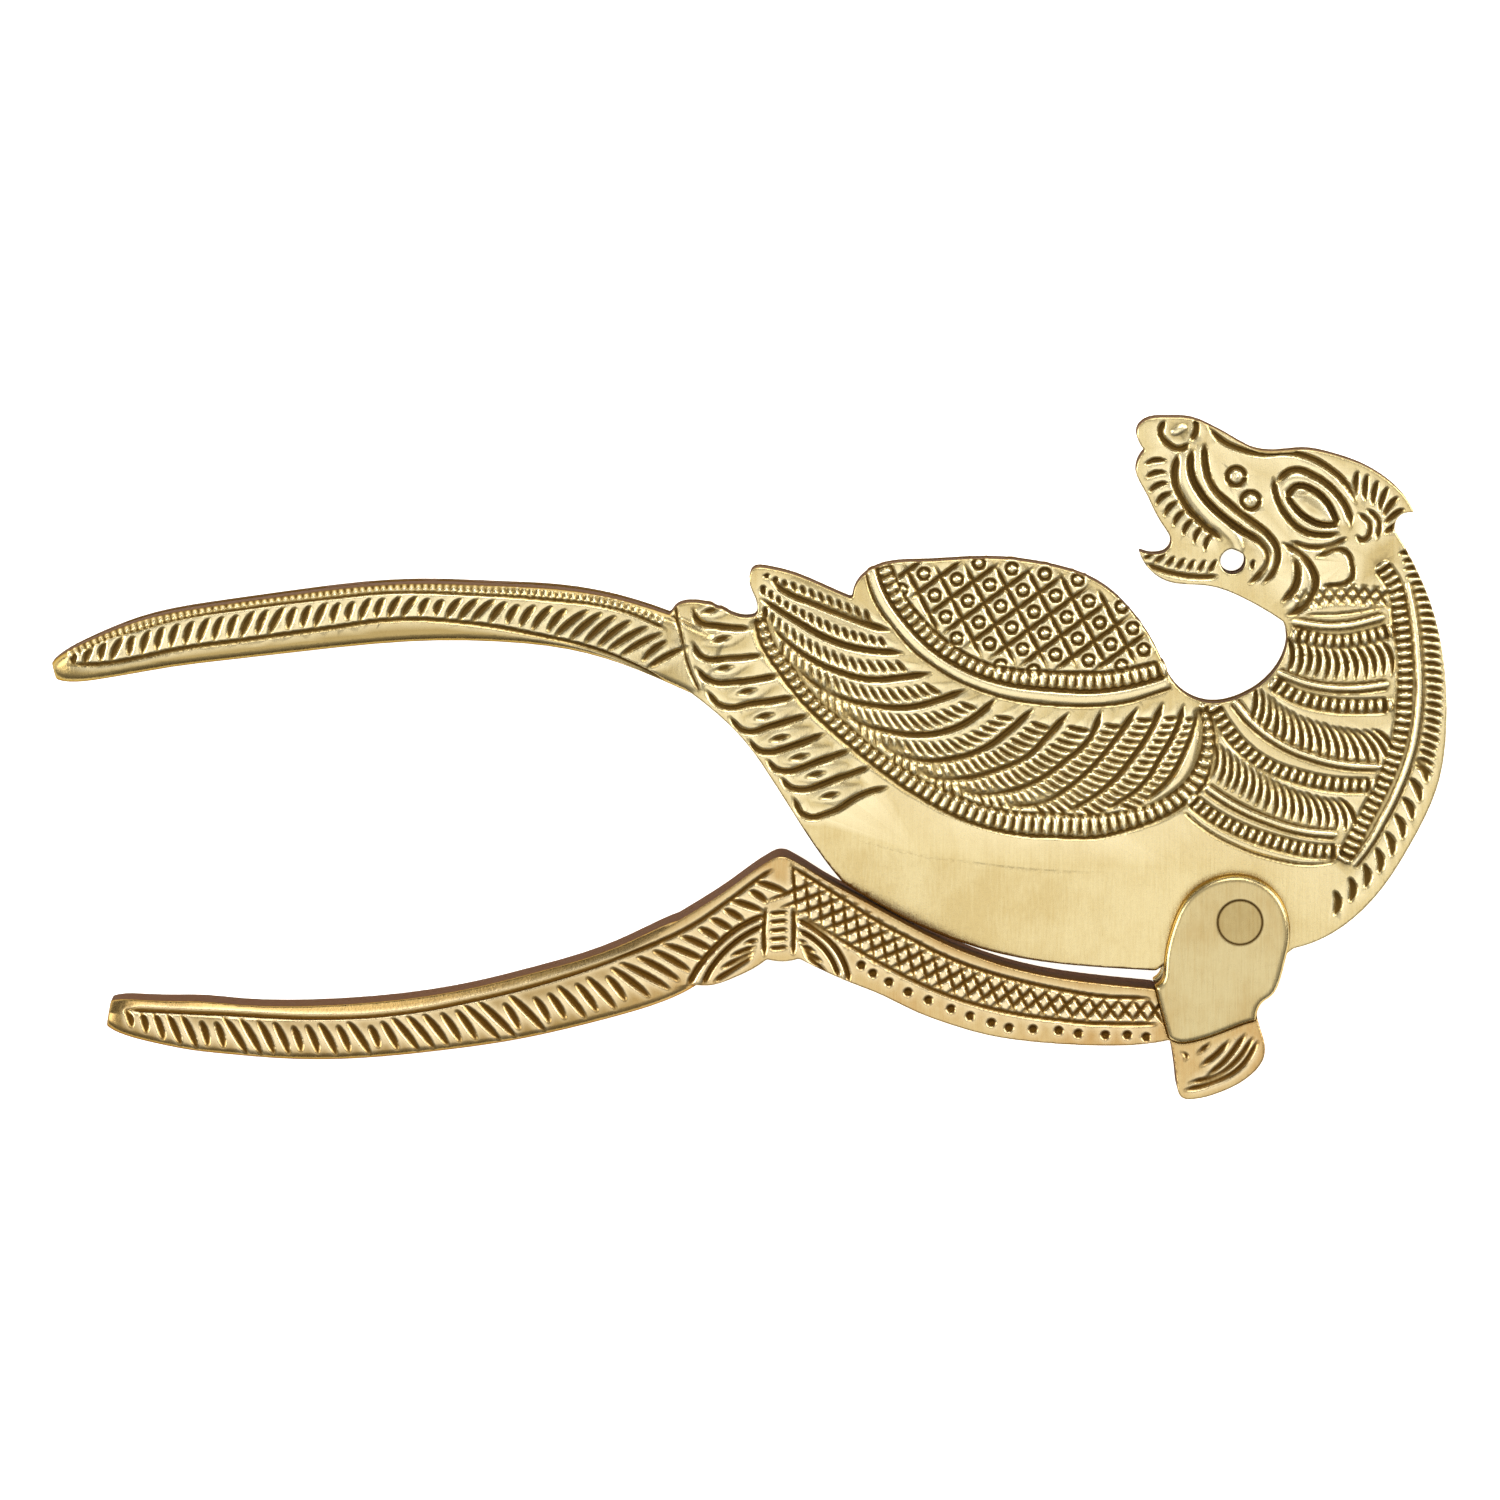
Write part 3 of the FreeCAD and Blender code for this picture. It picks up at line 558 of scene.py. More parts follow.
# %% [markdown]
# ## The bird's rows
#
# Most of the bird is made of the same few rows: a strip of beads between two cut lines, a plain
# ridge, a row of slanted hatching, and a row of crescents like scales. Each is a short function.
# A row never differs from its neighbour in method, only in its path, as on the real casting.

# %% Rows of ornament

bird_raised = Sheet("bird_raised", -0.5)
bird_cut = Sheet("bird_cut", -0.5)


def bead_strip(raised, cut, first, second, pitch=1.3, share=2.0):
    """A sunk band between two cut lines, filled with beads that lie across it."""
    middle, half = between(first, second, max(9, 2 * len(first)))
    widest = 2 * max(half) / MM
    cut.lines([middle], widest, 0.34, taper=0.3)
    cut.lines([first, second], 0.55, 0.5, taper=0.6)
    raised.strokes([middle], pitch, share, 1.02, 0.56, radii=[half])


def bead_row(raised, cut, path, width=1.7, pitch=1.25):
    """Beads along one path, sunk between two cut edges."""
    cut.lines([path], width + 0.7, 0.48, taper=0.3)
    raised.strokes([path], pitch, width, 0.95, 0.66)


def ridge(raised, cut, path, width=1.0, rise=0.22):
    """A plain round ridge with a cut line on each side."""
    cut.lines([path], width + 1.0, 0.34, taper=0.4)
    raised.lines([path], width, rise + 0.36, taper=0.6)


# %% [markdown]
# ### Wing border, feathers and shoulder
#
# The wing's lower edge is one long bead strip that sweeps from the tail to the breast. Feathers
# fan from it up to the shoulder's ridge. Each feather is the space between two scribed lines, and
# its hatching is struck along the middle, as wide as the feather is at that point.

# %% The wing
BORDER_OUTER = [
    (-66.2, 41.9), (-65.4, 38.6), (-63.5, 35.4), (-59.2, 29.9), (-53.3, 24.5), (-50, 21.8), (-45, 18.2),
    (-40, 15.3), (-35, 13.3), (-29.1, 12.1), (-25, 11.9), (-20, 11.8), (-16.5, 12.5), (-13.3, 13.5),
    (-10, 14.9), (-8.1, 16), (-6.5, 17.3), (-5, 18.9), (-4.1, 21), (-3.6, 23.7), (-3.6, 26.4), (-4.7, 30),
]
BORDER_INNER = [
    (-65, 42.2), (-63.5, 38.1), (-61.3, 35.4), (-58.7, 31.8), (-52.7, 26.4), (-50, 24), (-45, 20.6),
    (-39.3, 17.7), (-35, 16.1), (-31.3, 15.3), (-25.9, 15), (-20, 14.8), (-15, 15.4), (-11.8, 16.2),
    (-9.1, 17.8), (-7, 19.7), (-5.7, 22.1), (-5, 24.7), (-5, 27.4), (-5.5, 29.5),
]
FEATHER_LINES = [
    [(-65.2, 48.2), (-61.9, 48.3), (-57, 46.2), (-53.2, 44.2), (-51.2, 43.6)],
    [(-64.3, 47.4), (-61.9, 45.5), (-58.1, 43.9), (-53.8, 42.2), (-50, 40.8), (-47.4, 40.1)],
    [(-65.6, 44.7), (-60.3, 41.4), (-57.1, 39.5), (-52.8, 37.9), (-45.8, 37.1)],
    [(-64.3, 41.4), (-61.9, 38.7), (-58.1, 36), (-54.9, 34.6), (-50.6, 33.5), (-46.3, 33.8), (-42, 34.4)],
    [(-61.3, 36), (-58.1, 33), (-54.9, 31.1), (-50.6, 30), (-45.2, 29.7), (-40.9, 30.8), (-37.2, 32.2)],
    [(-54.9, 30), (-51.7, 27.5), (-48.4, 26.5), (-44.1, 25.9), (-39.3, 26.7), (-35.5, 28.9), (-33.1, 31.1)],
    [(-50.1, 25.6), (-47.4, 23.7), (-44.1, 22.4), (-39.3, 22.6), (-35, 24), (-31.3, 26.7), (-28, 29.7)],
    [(-45.2, 22.1), (-42, 20.2), (-37.7, 19.9), (-33.4, 21), (-29.1, 22.9), (-25.9, 26.2), (-23.2, 29.1)],
    [(-39.3, 19.1), (-36.6, 18), (-32.3, 18), (-28, 19.4), (-23.7, 22.4), (-20.5, 25.4), (-18.8, 29.5)],
    [(-33, 16.3), (-27, 16.6), (-23.8, 18.3), (-20.1, 21.5), (-17, 25.3), (-13.8, 29.8)],
    [(-24, 15.3), (-22.2, 16), (-18, 18.9), (-14.4, 23.1), (-12, 26.9), (-10.4, 30.6)],
    [(-18.5, 15.2), (-17.5, 16), (-13.3, 18.9), (-10.7, 23.1), (-8.6, 26.9), (-7.6, 30.3)],
    [(-13.3, 16.5), (-9.6, 20), (-7.6, 23.7), (-6.2, 27.4), (-5.7, 29.8)],
]
SHOULDER_RIDGE = [
    (-51.1, 48.3), (-50.3, 45.3), (-49, 42.8), (-47.1, 40.4), (-44.7, 37.6), (-42, 35.5), (-38.8, 33.5),
    (-35, 31.9), (-31.3, 30.8), (-25, 30), (-20, 29.9), (-15, 30.5), (-12.3, 31.4), (-9.1, 32.5),
]
SHOULDER_OUTER = [
    (-49.8, 49.4), (-49.1, 46.9), (-47.9, 44.4), (-46, 41.7), (-43.6, 39), (-40.9, 36.8), (-38.2, 35.2),
    (-35, 33.8), (-31.3, 32.8), (-25, 32.1), (-20, 31.9), (-16.5, 32.3), (-13.3, 33), (-10, 34),
]
SHOULDER_INNER = [
    (-47.9, 49.6), (-46.8, 46.9), (-45.5, 44.4), (-43.6, 42), (-41.4, 39.8), (-39.3, 38.2), (-36.6, 36.5),
    (-33.4, 35.3), (-30, 34.8), (-25, 34.5), (-20, 34.4), (-16.5, 34.7), (-13.3, 35.4), (-11.2, 35.9),
]

bead_strip(bird_raised, bird_cut, BORDER_OUTER, BORDER_INNER)
bird_cut.lines(FEATHER_LINES[1:], 1.0, 0.6, taper=2.0)
for k, (upper, lower) in enumerate(zip(FEATHER_LINES, FEATHER_LINES[1:])):
    middle, half = between(upper, lower, low=0.3, high=0.95)
    bird_raised.lines([middle], 2.2, 0.16, taper=4.0)
    slant, length, pitch = (44, 1.7, 1.25) if k < 6 else (28, 2.1, 1.12)
    bird_cut.strokes([middle[:-1]], pitch, length, 0.88, 0.58, tilt=slant, bend=0.25, radii=[half[:-1]])
bead_strip(bird_raised, bird_cut, SHOULDER_OUTER, SHOULDER_INNER, pitch=1.25)
shoulder_middle, _ = between(SHOULDER_RIDGE, SHOULDER_OUTER, 14)
bird_raised.lines([shoulder_middle], 1.6, 0.22, taper=0.5)
bird_cut.lines([SHOULDER_RIDGE], 0.45, 0.3, taper=0.5)

BEVEL_START = [(-57.5, 13.2), (-46.2, 9.9), (-36.1, 8.2), (-26, 7.1), (-15.9, 6.8)]
bird_cut.lines([BEVEL_START], 0.45, 0.07, taper=8.0)

# %% [markdown]
# ### The shoulder's lattice
#
# The shoulder is ruled into diamonds by two families of lines. A ring punch with a dot at
# its centre is struck once in every diamond. The ruling is worked out from the two edges of one
# diamond, and everything outside the panel is left out.

# %% The lattice panel
PANEL = SHOULDER_INNER + [
    (-11.6, 38.2), (-12.8, 40.2), (-15.6, 43.2), (-20, 46.4), (-25, 48.8), (-28, 49.4), (-35, 49.9),
    (-39.3, 49.9), (-45.2, 49.7),
]
CELL_DOWN = (1.5, -2.95)
CELL_UP = (3.0, 2.2)
FIRST_RING = (-25.2, 45.0)


def lattice_point(down, up):
    """The point that many cells down and up from the first ring."""
    return (
        FIRST_RING[0] + down * CELL_DOWN[0] + up * CELL_UP[0],
        FIRST_RING[1] + down * CELL_DOWN[1] + up * CELL_UP[1],
    )


def ruled(points):
    """The longest stretch of a ruled line that lies in the panel."""
    kept = [p for p in points if inside(p, PANEL)]
    return [kept[0], kept[-1]] if len(kept) > 5 else None


rulings = []
for k in range(-12, 13):
    steps = [s / 8 for s in range(-96, 97)]
    rulings.append(ruled([lattice_point(k + 0.5, s) for s in steps]))
    rulings.append(ruled([lattice_point(s, k + 0.5) for s in steps]))
bird_cut.lines([r for r in rulings if r], 0.72, 0.52, taper=0.2)
centres = [lattice_point(i, j) for i in range(-12, 13) for j in range(-12, 13)]
centres = [c for c in centres if inside(c, PANEL)]
bird_cut.lines([ring(c, 0.78) for c in centres], 0.46, 0.52, closed=True)
bird_raised.lines([ring(c, 1.14) for c in centres], 0.36, 0.16, closed=True)
bird_raised.lines([[(x - 0.15, y), (x + 0.15, y)] for x, y in centres], 0.75, 0.3, taper=0.05)
print(f"lattice: {len(centres)} rings, {len([r for r in rulings if r])} ruled lines")

# %% [markdown]
# ### Tail
#
# Nine short tail feathers overlap between the grip and the wing. Each is a hooked line, a soft
# swelling and one slit.

# %% The tail
TAIL_HOOKS = [
    [(-74.8, 43.6), (-73.9, 41.5), (-71, 40.8), (-66.2, 40.4)],
    [(-74.8, 38.9), (-73.4, 36.6), (-69.5, 36.4), (-64.6, 36.9)],
    [(-74.5, 35.4), (-72.3, 33.3), (-68.5, 33.2), (-62.4, 34.2)],
    [(-73.1, 32.2), (-70.6, 29.8), (-66.5, 30.2), (-60.2, 31.2)],
    [(-69.9, 28.6), (-67.6, 26.4), (-63.8, 27.2), (-58.5, 28.8)],
    [(-67.3, 25.6), (-65.6, 23.7), (-60.5, 24.6), (-56.5, 26.2)],
    [(-64.8, 22.8), (-63, 21), (-57.5, 22.3), (-52.7, 24)],
    [(-63, 20.4), (-61, 18.5), (-55, 19.9), (-50, 21.7)],
    [(-61.1, 17.6), (-59.4, 14.8), (-56, 15.2), (-51.5, 17.7), (-47.9, 18.8)],
]
TAIL_SLITS = [
    (-72.4, 42.9), (-71, 39), (-70.6, 35), (-67.5, 31.8), (-65.1, 28.4), (-63, 25.4), (-60.3, 22.8),
    (-58.1, 20.4), (-56.2, 17.5),
]
TAIL_COLLAR = [(-77.4, 44.3), (-76.5, 41), (-75.9, 38), (-75.3, 35.6), (-73.6, 31.5)]
bird_cut.lines(TAIL_HOOKS, 0.95, 0.5, taper=1.6)
bird_cut.lines([TAIL_COLLAR], 0.6, 0.35)
bird_cut.lines([[(x - 1.4, y - 0.3), (x + 1.7, y + 0.5)] for x, y in TAIL_SLITS], 0.95, 0.5, taper=1.2)
for (x, y), hook in zip(TAIL_SLITS, TAIL_HOOKS):
    bird_raised.lines([[(x - 2.6, y - 0.5), (x, y), (x + 4.5, y + 1.4)]], 2.7, 0.26, taper=3.0)

# %% [markdown]
# ### Neck
#
# A bead strip and a ridge run down the back of the neck, with the mane's hooks outside them. Rings
# of beads, ridges and scales cross the neck between the throat and that strip.

# %% The neck
NAPE_BEADS = [
    (19.2, 49.1), (20.9, 46.4), (21.8, 41.7), (22.4, 36.4), (22.5, 31.6), (22.1, 26.8), (21, 22.6),
    (19.5, 18.9), (17.6, 15.1), (16, 12), (14.5, 8.8),
]
NAPE_RIDGE = [
    (22.6, 47), (23.7, 41.7), (24.3, 36.4), (24.5, 31.6), (24.1, 26.8), (23.2, 22.6), (21.6, 18.3),
    (19.8, 14.6), (17.7, 10.9), (15.3, 7.7),
]
MANE = [
    (22.9, 51), (24.4, 46.5), (25.6, 42), (26.2, 36.4), (26.5, 31), (26.1, 26), (25.2, 21.2),
    (23.6, 16.6), (21.4, 12), (18.8, 8), (15.6, 4.6), (13.6, 2.8),
]
NECK_RIDGES = [
    [(6.6, 41.5), (13.3, 40.8), (20, 42.2)],
    [(4.8, 34.6), (9.8, 32.8), (15, 32.3), (20.6, 32.9)],
    [(-1, 30.8), (1.4, 27.9), (5.6, 24.7), (9.8, 22.9), (14.5, 21.8), (19.4, 21.5)],
    [(-4.9, 18.9), (-0.7, 16.2), (4, 14.1), (8.7, 12.7), (13.6, 12.2)],
]
NECK_BEADS = [
    [(7.4, 39.6), (13, 38.7), (17, 39.2), (20.4, 40.2)],
    [(4.5, 33), (7.7, 31.2), (11.9, 30.1), (16.1, 29.8), (20.4, 30)],
    [(-3.6, 29.6), (-2.3, 27.4), (0.3, 24.2), (3.5, 21.8), (7.7, 20.2), (12.9, 19.1), (18.2, 18.9)],
    [(-6.6, 17), (-3.9, 14.9), (0.3, 12.7), (5.6, 10.9), (10.3, 9.9), (13.4, 9.8)],
]
NECK_SCALES = [
    [(7.2, 36.9), (13, 36.0), (20.6, 36.8)],
    [(2.2, 30.1), (6.6, 27.1), (11.9, 25.3), (17.1, 24.6), (20.4, 24.9)],
    [(-3.0, 22.6), (1.4, 19.7), (6.6, 17), (11.9, 15.6), (15.4, 15.2)],
]
SCALE_LENGTHS = (5.6, 6.6, 6.0)
SCALE_LEANS = (12, 30, 32)

bead_row(bird_raised, bird_cut, NAPE_BEADS, width=2.1, pitch=1.15)
ridge(bird_raised, bird_cut, NAPE_RIDGE, width=0.9)
bird_cut.strokes([MANE[:7]], 1.1, 2.9, 0.8, 0.55, tilt=-14, bend=0.6)
bird_cut.strokes([MANE[6:]], 2.5, 3.8, 1.25, 0.55, tilt=-42, bend=1.0)
for path in NECK_RIDGES:
    ridge(bird_raised, bird_cut, path, width=0.9)
for path in NECK_BEADS:
    bead_row(bird_raised, bird_cut, path, width=1.9, pitch=1.2)
for path, length, lean in zip(NECK_SCALES, SCALE_LENGTHS, SCALE_LEANS):
    bird_cut.strokes([path], 1.18, length, 0.86, 0.62, tilt=lean, bend=-2.4)
bird_cut.lines([[(-7.8, 15.5), (-4.9, 13.1), (-0.7, 10.7), (4.5, 8.9), (9.8, 8.1), (13.6, 8.6)]], 0.5, 0.3)
THROAT_PATCH = [(8.2, 44.3), (13, 45.2), (19.2, 44.8)]
for lean in (40, -40):
    bird_cut.strokes([THROAT_PATCH], 1.5, 4.4, 0.75, 0.46, tilt=lean)
bird_cut.lines([[(8.4, 42.4), (14, 42.6), (20, 43.6)]], 0.45, 0.3)

# %% [markdown]
# ### Head
#
# The head has the most single strokes: the lips with their teeth, two ring dots on the snout, the
# almond eye inside its lids, the jaw's crescents and the ear. It follows no rule, so its paths are
# set one by one.

# %% The head
LIP_LINES = [
    [(-8.6, 64.6), (-9.1, 61), (-8, 58), (-5.5, 55), (-2.5, 52.6)],
    [(-6.7, 65.2), (-6.9, 62), (-5.5, 59), (-3, 56.3), (0, 54), (3, 52), (3.8, 50), (2.8, 48), (1, 46.6)],
    [(-5, 66), (-4.9, 63), (-4, 60), (-1.5, 57.5), (1, 55.5), (4, 53), (5, 51), (4.5, 48.5), (3, 46.6)],
]
TEETH = [(-11.7, 63.6), (-11.6, 61.3), (-11.1, 59.4), (-10, 57.6), (-8.6, 55.9), (-6.6, 54), (-4.6, 52.6)]
JAW_TEETH = [(-12.4, 50.6), (-9.4, 49.6), (-6.4, 49.1), (-3.9, 49)]
NOSTRIL_LINES = [
    [(-10.4, 69.1), (-11, 67.2), (-9.9, 65.7), (-8.3, 65.1), (-7, 65.9)],
    [(-6.3, 69.3), (-6.2, 67.4), (-7, 66.1)],
]
BROW = [
    (-4.6, 68.3), (-3, 66.5), (0, 65), (3, 64.4), (6, 64.6), (9, 64), (12, 62.4), (14.5, 60), (15.8, 57.5),
]
EYE_UPPER = [(6.2, 58.6), (7.6, 60), (9.6, 59.6), (11.6, 57.9), (13.2, 54.8)]
EYE_LOWER = [(6.2, 58.6), (7.2, 57.2), (9, 55.6), (11.2, 54.7), (13.2, 54.8)]
EYE_BALL = [(8.4, 58.2), (11.2, 56.2)]
UPPER_LID = [(4.6, 60.4), (7, 62.2), (10, 61.4), (13, 59), (14.8, 56), (15, 54.3)]
FRONT_LID = [(4.4, 61.4), (4.8, 58.5), (6.5, 55.5), (8.6, 53.8), (11, 53.3), (13.6, 53.5)]
LOWER_LID = [(6.6, 52.5), (9, 51.7), (12, 51.8), (14.6, 53)]
JAW_CRESCENTS = [
    [(6.8, 51), (7.8, 48.8), (7.3, 46), (5.5, 44)],
    [(5.5, 52.3), (8, 50.7), (9.8, 48.5), (10.3, 46.5), (9.5, 44.5), (8, 43), (6.2, 42.3)],
]
EAR = [
    [(10.2, 50.3), (14, 51.2), (15.2, 49), (15, 47.2), (11, 46.2)],
    [(15.9, 56.4), (17.6, 54.6), (16.7, 52.6), (15.6, 53.4)],
    [(17.1, 57), (18.8, 55), (18.5, 52.6)],
]
TUFT = [(15.6, 60.4), (18, 59.2), (20.4, 57), (21, 54.6)]
DOTS = [(-0.7, 61.3), (1.3, 58)]

bird_cut.lines(LIP_LINES, 1.1, 0.58, taper=1.6)
for outer, inner in zip(LIP_LINES, LIP_LINES[1:]):
    bird_raised.lines([between(outer, inner, 7)[0]], 1.7, 0.26, taper=2.0)
bird_cut.strokes([TEETH], 1.6, 3.2, 0.72, 0.6, tilt=8, bend=1.4, jitter=0.02)
bird_cut.strokes([JAW_TEETH], 1.25, 2.3, 0.65, 0.52, tilt=-30)
bird_cut.lines([[(-13, 49.4), (-10.5, 48.4), (-6, 47.6), (-3, 47.7)]], 0.9, 0.46)
bird_cut.lines(NOSTRIL_LINES, 0.95, 0.55, taper=0.8)
bird_raised.lines([[(-8.8, 68.2), (-8.3, 67.2)]], 2.4, 0.4, taper=0.2)
bird_cut.lines([BROW], 0.95, 0.52, taper=2.0)
bird_raised.lines([[(6.6, 58.4), (9.6, 57.2), (12.8, 55)]], 3.2, 0.3, taper=2.4)
bird_cut.lines([EYE_UPPER, EYE_LOWER], 0.9, 0.62, taper=0.3)
bird_raised.lines([EYE_BALL], 1.5, 0.35, taper=0.5)
bird_cut.lines([UPPER_LID, FRONT_LID], 0.95, 0.55, taper=1.5)
lids = [between(EYE_UPPER, UPPER_LID, 7)[0], between(EYE_LOWER, FRONT_LID, 7)[0]]
bird_raised.lines(lids, 1.3, 0.2, taper=1.5)
bird_cut.lines([LOWER_LID], 0.9, 0.46, taper=1.0)
bird_cut.lines(JAW_CRESCENTS, 1.1, 0.58, taper=1.5)
bird_raised.lines([between(*JAW_CRESCENTS, 7)[0]], 1.8, 0.26, taper=2.0)
bird_cut.lines(EAR, 0.85, 0.5, taper=0.9)
bird_cut.strokes([TUFT], 1.3, 3.8, 0.9, 0.6, tilt=22, bend=0.5)
bird_cut.lines([ring(c, 1.2, 10) for c in DOTS], 0.75, 0.55, closed=True)
bird_raised.lines([[(x - 0.2, y), (x + 0.2, y)] for x, y in DOTS], 1.3, 0.36, taper=0.2)
bird_cut.lines([[(1.3, 49.3), (1.9, 49.2)]], 1.5, 0.6, taper=0.2)

# %% [markdown]
# ### The bird's grip
#
# The grip's face has a smooth margin on the palm side, one long cut line, slanted hatching, and a
# knurled rim along its outer edge.

# %% The upper grip
GRIP_RIM = [
    (-159.6, 37), (-155, 39.5), (-150, 41.1), (-145, 42.5), (-135, 44.5), (-125, 45.6), (-115, 46.6),
    (-105, 46.1), (-95, 45.4), (-85, 44), (-79, 41.8),
]
GRIP_RIDGE = [
    (-158.4, 37.4), (-155, 39.3), (-150, 40.7), (-145, 42.1), (-135, 43.7), (-125, 44.9), (-115, 45.8),
    (-105, 45.5), (-95, 44.8), (-85, 43.4), (-80, 41.4), (-77.8, 40.2),
]
GRIP_LINE = [
    (-160, 35.7), (-155, 35.9), (-150, 36.8), (-145, 37.9), (-135, 39.3), (-125, 40.7), (-115, 42),
    (-105, 41.5), (-95, 39.7), (-88, 37.9), (-83, 35.8), (-78.6, 33.4),
]
grip_middle, grip_half = between(GRIP_LINE, GRIP_RIDGE, 20)
bird_cut.lines([GRIP_RIM], 1.1, 0.3)
bird_raised.strokes([GRIP_RIM], 0.95, 1.3, 0.62, 0.3)
bird_cut.lines([GRIP_RIDGE, GRIP_LINE], 0.6, 0.42, taper=2.0)
bird_cut.strokes([grip_middle], 2.0, 1.9, 1.05, 0.5, tilt=-32, bend=0.5, jitter=0.28, radii=[grip_half])

# %% [markdown]
# ## The anvil lever's pattern
#
# Cross-hatching and a row of drilled pits run along the anvil, two quarter shells and a tie cover
# the elbow, and the grip is hatched like the other one. The foot under the cheeks is a fan of cuts.

# %% The anvil lever
anvil_raised = Sheet("anvil_raised", -0.3)
anvil_cut = Sheet("anvil_cut", -0.3)

BAR_LINE = [
    (-61.6, 8.1), (-55, 3.9), (-50, 0.6), (-45, -2.1), (-40, -4.6), (-35, -6.5), (-30, -7.9), (-25, -9),
    (-19, -10), (-12, -10.3),
]
BAR_SECOND = [
    (-60, 1.1), (-55, -1.9), (-50, -4.9), (-45, -7.6), (-40, -9.8), (-35, -11.4), (-30, -12.5), (-25, -13.2),
    (-20, -13.7), (-11, -13.8),
]
PITS = [
    (-51.7, -5.7), (-50.1, -6.8), (-47.9, -8), (-45.3, -9.4), (-42.5, -10.5), (-39.4, -11.7), (-36.8, -12.7),
    (-33.9, -13.6), (-31.5, -14.3), (-28.2, -14.5), (-24.7, -14.7), (-22, -15.1), (-18.3, -15.3),
    (-15.3, -15.3), (-12.7, -15.6),
]
LOWER_LINE = [
    (-151.9, -11.8), (-140, -12.3), (-125, -12.9), (-115, -12.3), (-105, -10.5), (-95, -8), (-85, -4.7),
    (-80, -2.8), (-75, -0.4), (-70, 3), (-66, 6), (-63.5, 7.7),
]
LOWER_OUTER = [
    (-151.5, -14.2), (-145, -17.4), (-135, -18.5), (-125, -18.9), (-115, -18.2), (-105, -17), (-95, -15.5),
    (-85, -12.9), (-78, -8.7), (-74, -5.5), (-69, -1), (-64.5, 2.6),
]
bar_middle, bar_half = between(BAR_LINE, BAR_SECOND, 14)
lower_middle, lower_half = between(LOWER_LINE, LOWER_OUTER, 20)
anvil_cut.lines([BAR_LINE, BAR_SECOND, LOWER_LINE], 0.6, 0.42, taper=1.5)
for lean in (38, -38):
    anvil_cut.strokes([bar_middle], 2.0, 2.5, 0.55, 0.5, tilt=lean, radii=[bar_half], jitter=0.06)
anvil_cut.lines([ring(c, 0.26) for c in PITS], 0.62, 0.6, closed=True)
anvil_cut.strokes([lower_middle], 2.1, 1.75, 1.0, 0.5, tilt=26, bend=-0.4, jitter=0.35, radii=[lower_half])

SHELLS = [
    ([(-75.4, -8.5), (-74, -6), (-71.5, -3), (-68.5, -0.5), (-64.6, 1.4)],
     [(-73.3, -8.3), (-72, -5.8), (-69.5, -3), (-67, -1.2), (-65, -0.2)]),
    ([(-60.5, 0.7), (-58, -0.8), (-55.5, -3), (-54, -5.5), (-53.3, -8)],
     [(-60.3, -0.8), (-58.3, -2), (-56.3, -4), (-55, -6.5), (-54.8, -7.4)]),
]
for outer, inner in SHELLS:
    anvil_cut.lines([outer, inner], 0.75, 0.5, taper=0.8)
    shell_middle, _ = between(outer, inner, 9)
    anvil_raised.lines([shell_middle], 1.1, 0.25, taper=0.6)
SHELL_RAYS = [
    [(-71.9, -8), (-66.4, -4.4)], [(-70.9, -6.2), (-66.2, -3.7)], [(-69.6, -4.5), (-66, -3)],
    [(-67.8, -2.7), (-65.7, -2.2)], [(-56.3, -6.9), (-59.6, -4)], [(-56.9, -5.4), (-59.9, -3.4)],
    [(-57.8, -4), (-60.2, -2.8)], [(-59, -2.7), (-60.5, -2.2)],
]
anvil_cut.lines(SHELL_RAYS, 0.7, 0.5)
anvil_cut.lines([[(-64.9, -4.6), (-65, 0), (-64.7, 2.4)], [(-61, -4.4), (-60.9, 0), (-61, 2.4)]], 0.7, 0.5)
anvil_cut.lines([[(-64.3, y), (-61.7, y + 0.2)] for y in (-3.4, -2.2, -1.0, 0.2, 1.4)], 0.6, 0.42, taper=0.5)
FOOT_CUTS = [
    [(-5.8, -18), (-3.8, -16.3)],
    [(-5.4, -19.7), (-3.2, -18.1), (-1.2, -15.9)],
    [(-4.6, -21.2), (-2, -19), (1, -15)],
    [(-7, -22), (-3, -20.9), (0, -18.5), (2, -15.5)],
    [(-7.6, -23), (-4, -22), (0, -19.9), (2.7, -16)],
    [(-8, -17.6), (-7.2, -18.2), (-7.5, -19)],
]
anvil_cut.lines(FOOT_CUTS, 0.75, 0.5, taper=1.6)

# %% [markdown]
# ## From solid to skin
#
# The CAD solids are exact but sharp. A casting comes out of its mould a little soft, so a copy of
# each lever is remeshed into an even skin, its corners are eased, and it is cut at the parting
# plane, where the two halves of the mould met. The front half is pressed with the drawing, closed
# along the parting plane, and thinned where it is flat. The back is its mirror image, because both
# faces carry the same work. The CAD nodes stay as they are, hidden, for collision.

# %% Skins
SKIN_MM = 0.17
TRIANGLES = 190000


def even_skin(node, voxel_mm, ease):
    """A remeshed copy of a CAD node, with its corners eased."""
    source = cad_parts[node]
    build = bmesh.new()
    build.from_mesh(source.data)
    bmesh.ops.remove_doubles(build, verts=build.verts, dist=0.001 * MM)
    mesh = bpy.data.meshes.new(node + "_skin")
    build.to_mesh(mesh)
    build.free()
    obj = bpy.data.objects.new(node + "_skin", mesh)
    bpy.context.scene.collection.objects.link(obj)
    remesh = obj.modifiers.new("even", "REMESH")
    remesh.mode = "VOXEL"
    remesh.voxel_size = voxel_mm * MM
    soften = obj.modifiers.new("ease", "SMOOTH")
    soften.iterations = ease
    soften.factor = 0.5
    depsgraph = bpy.context.evaluated_depsgraph_get()
    skin = bpy.data.meshes.new_from_object(obj.evaluated_get(depsgraph), depsgraph=depsgraph)
    bpy.data.objects.remove(obj)
    return skin


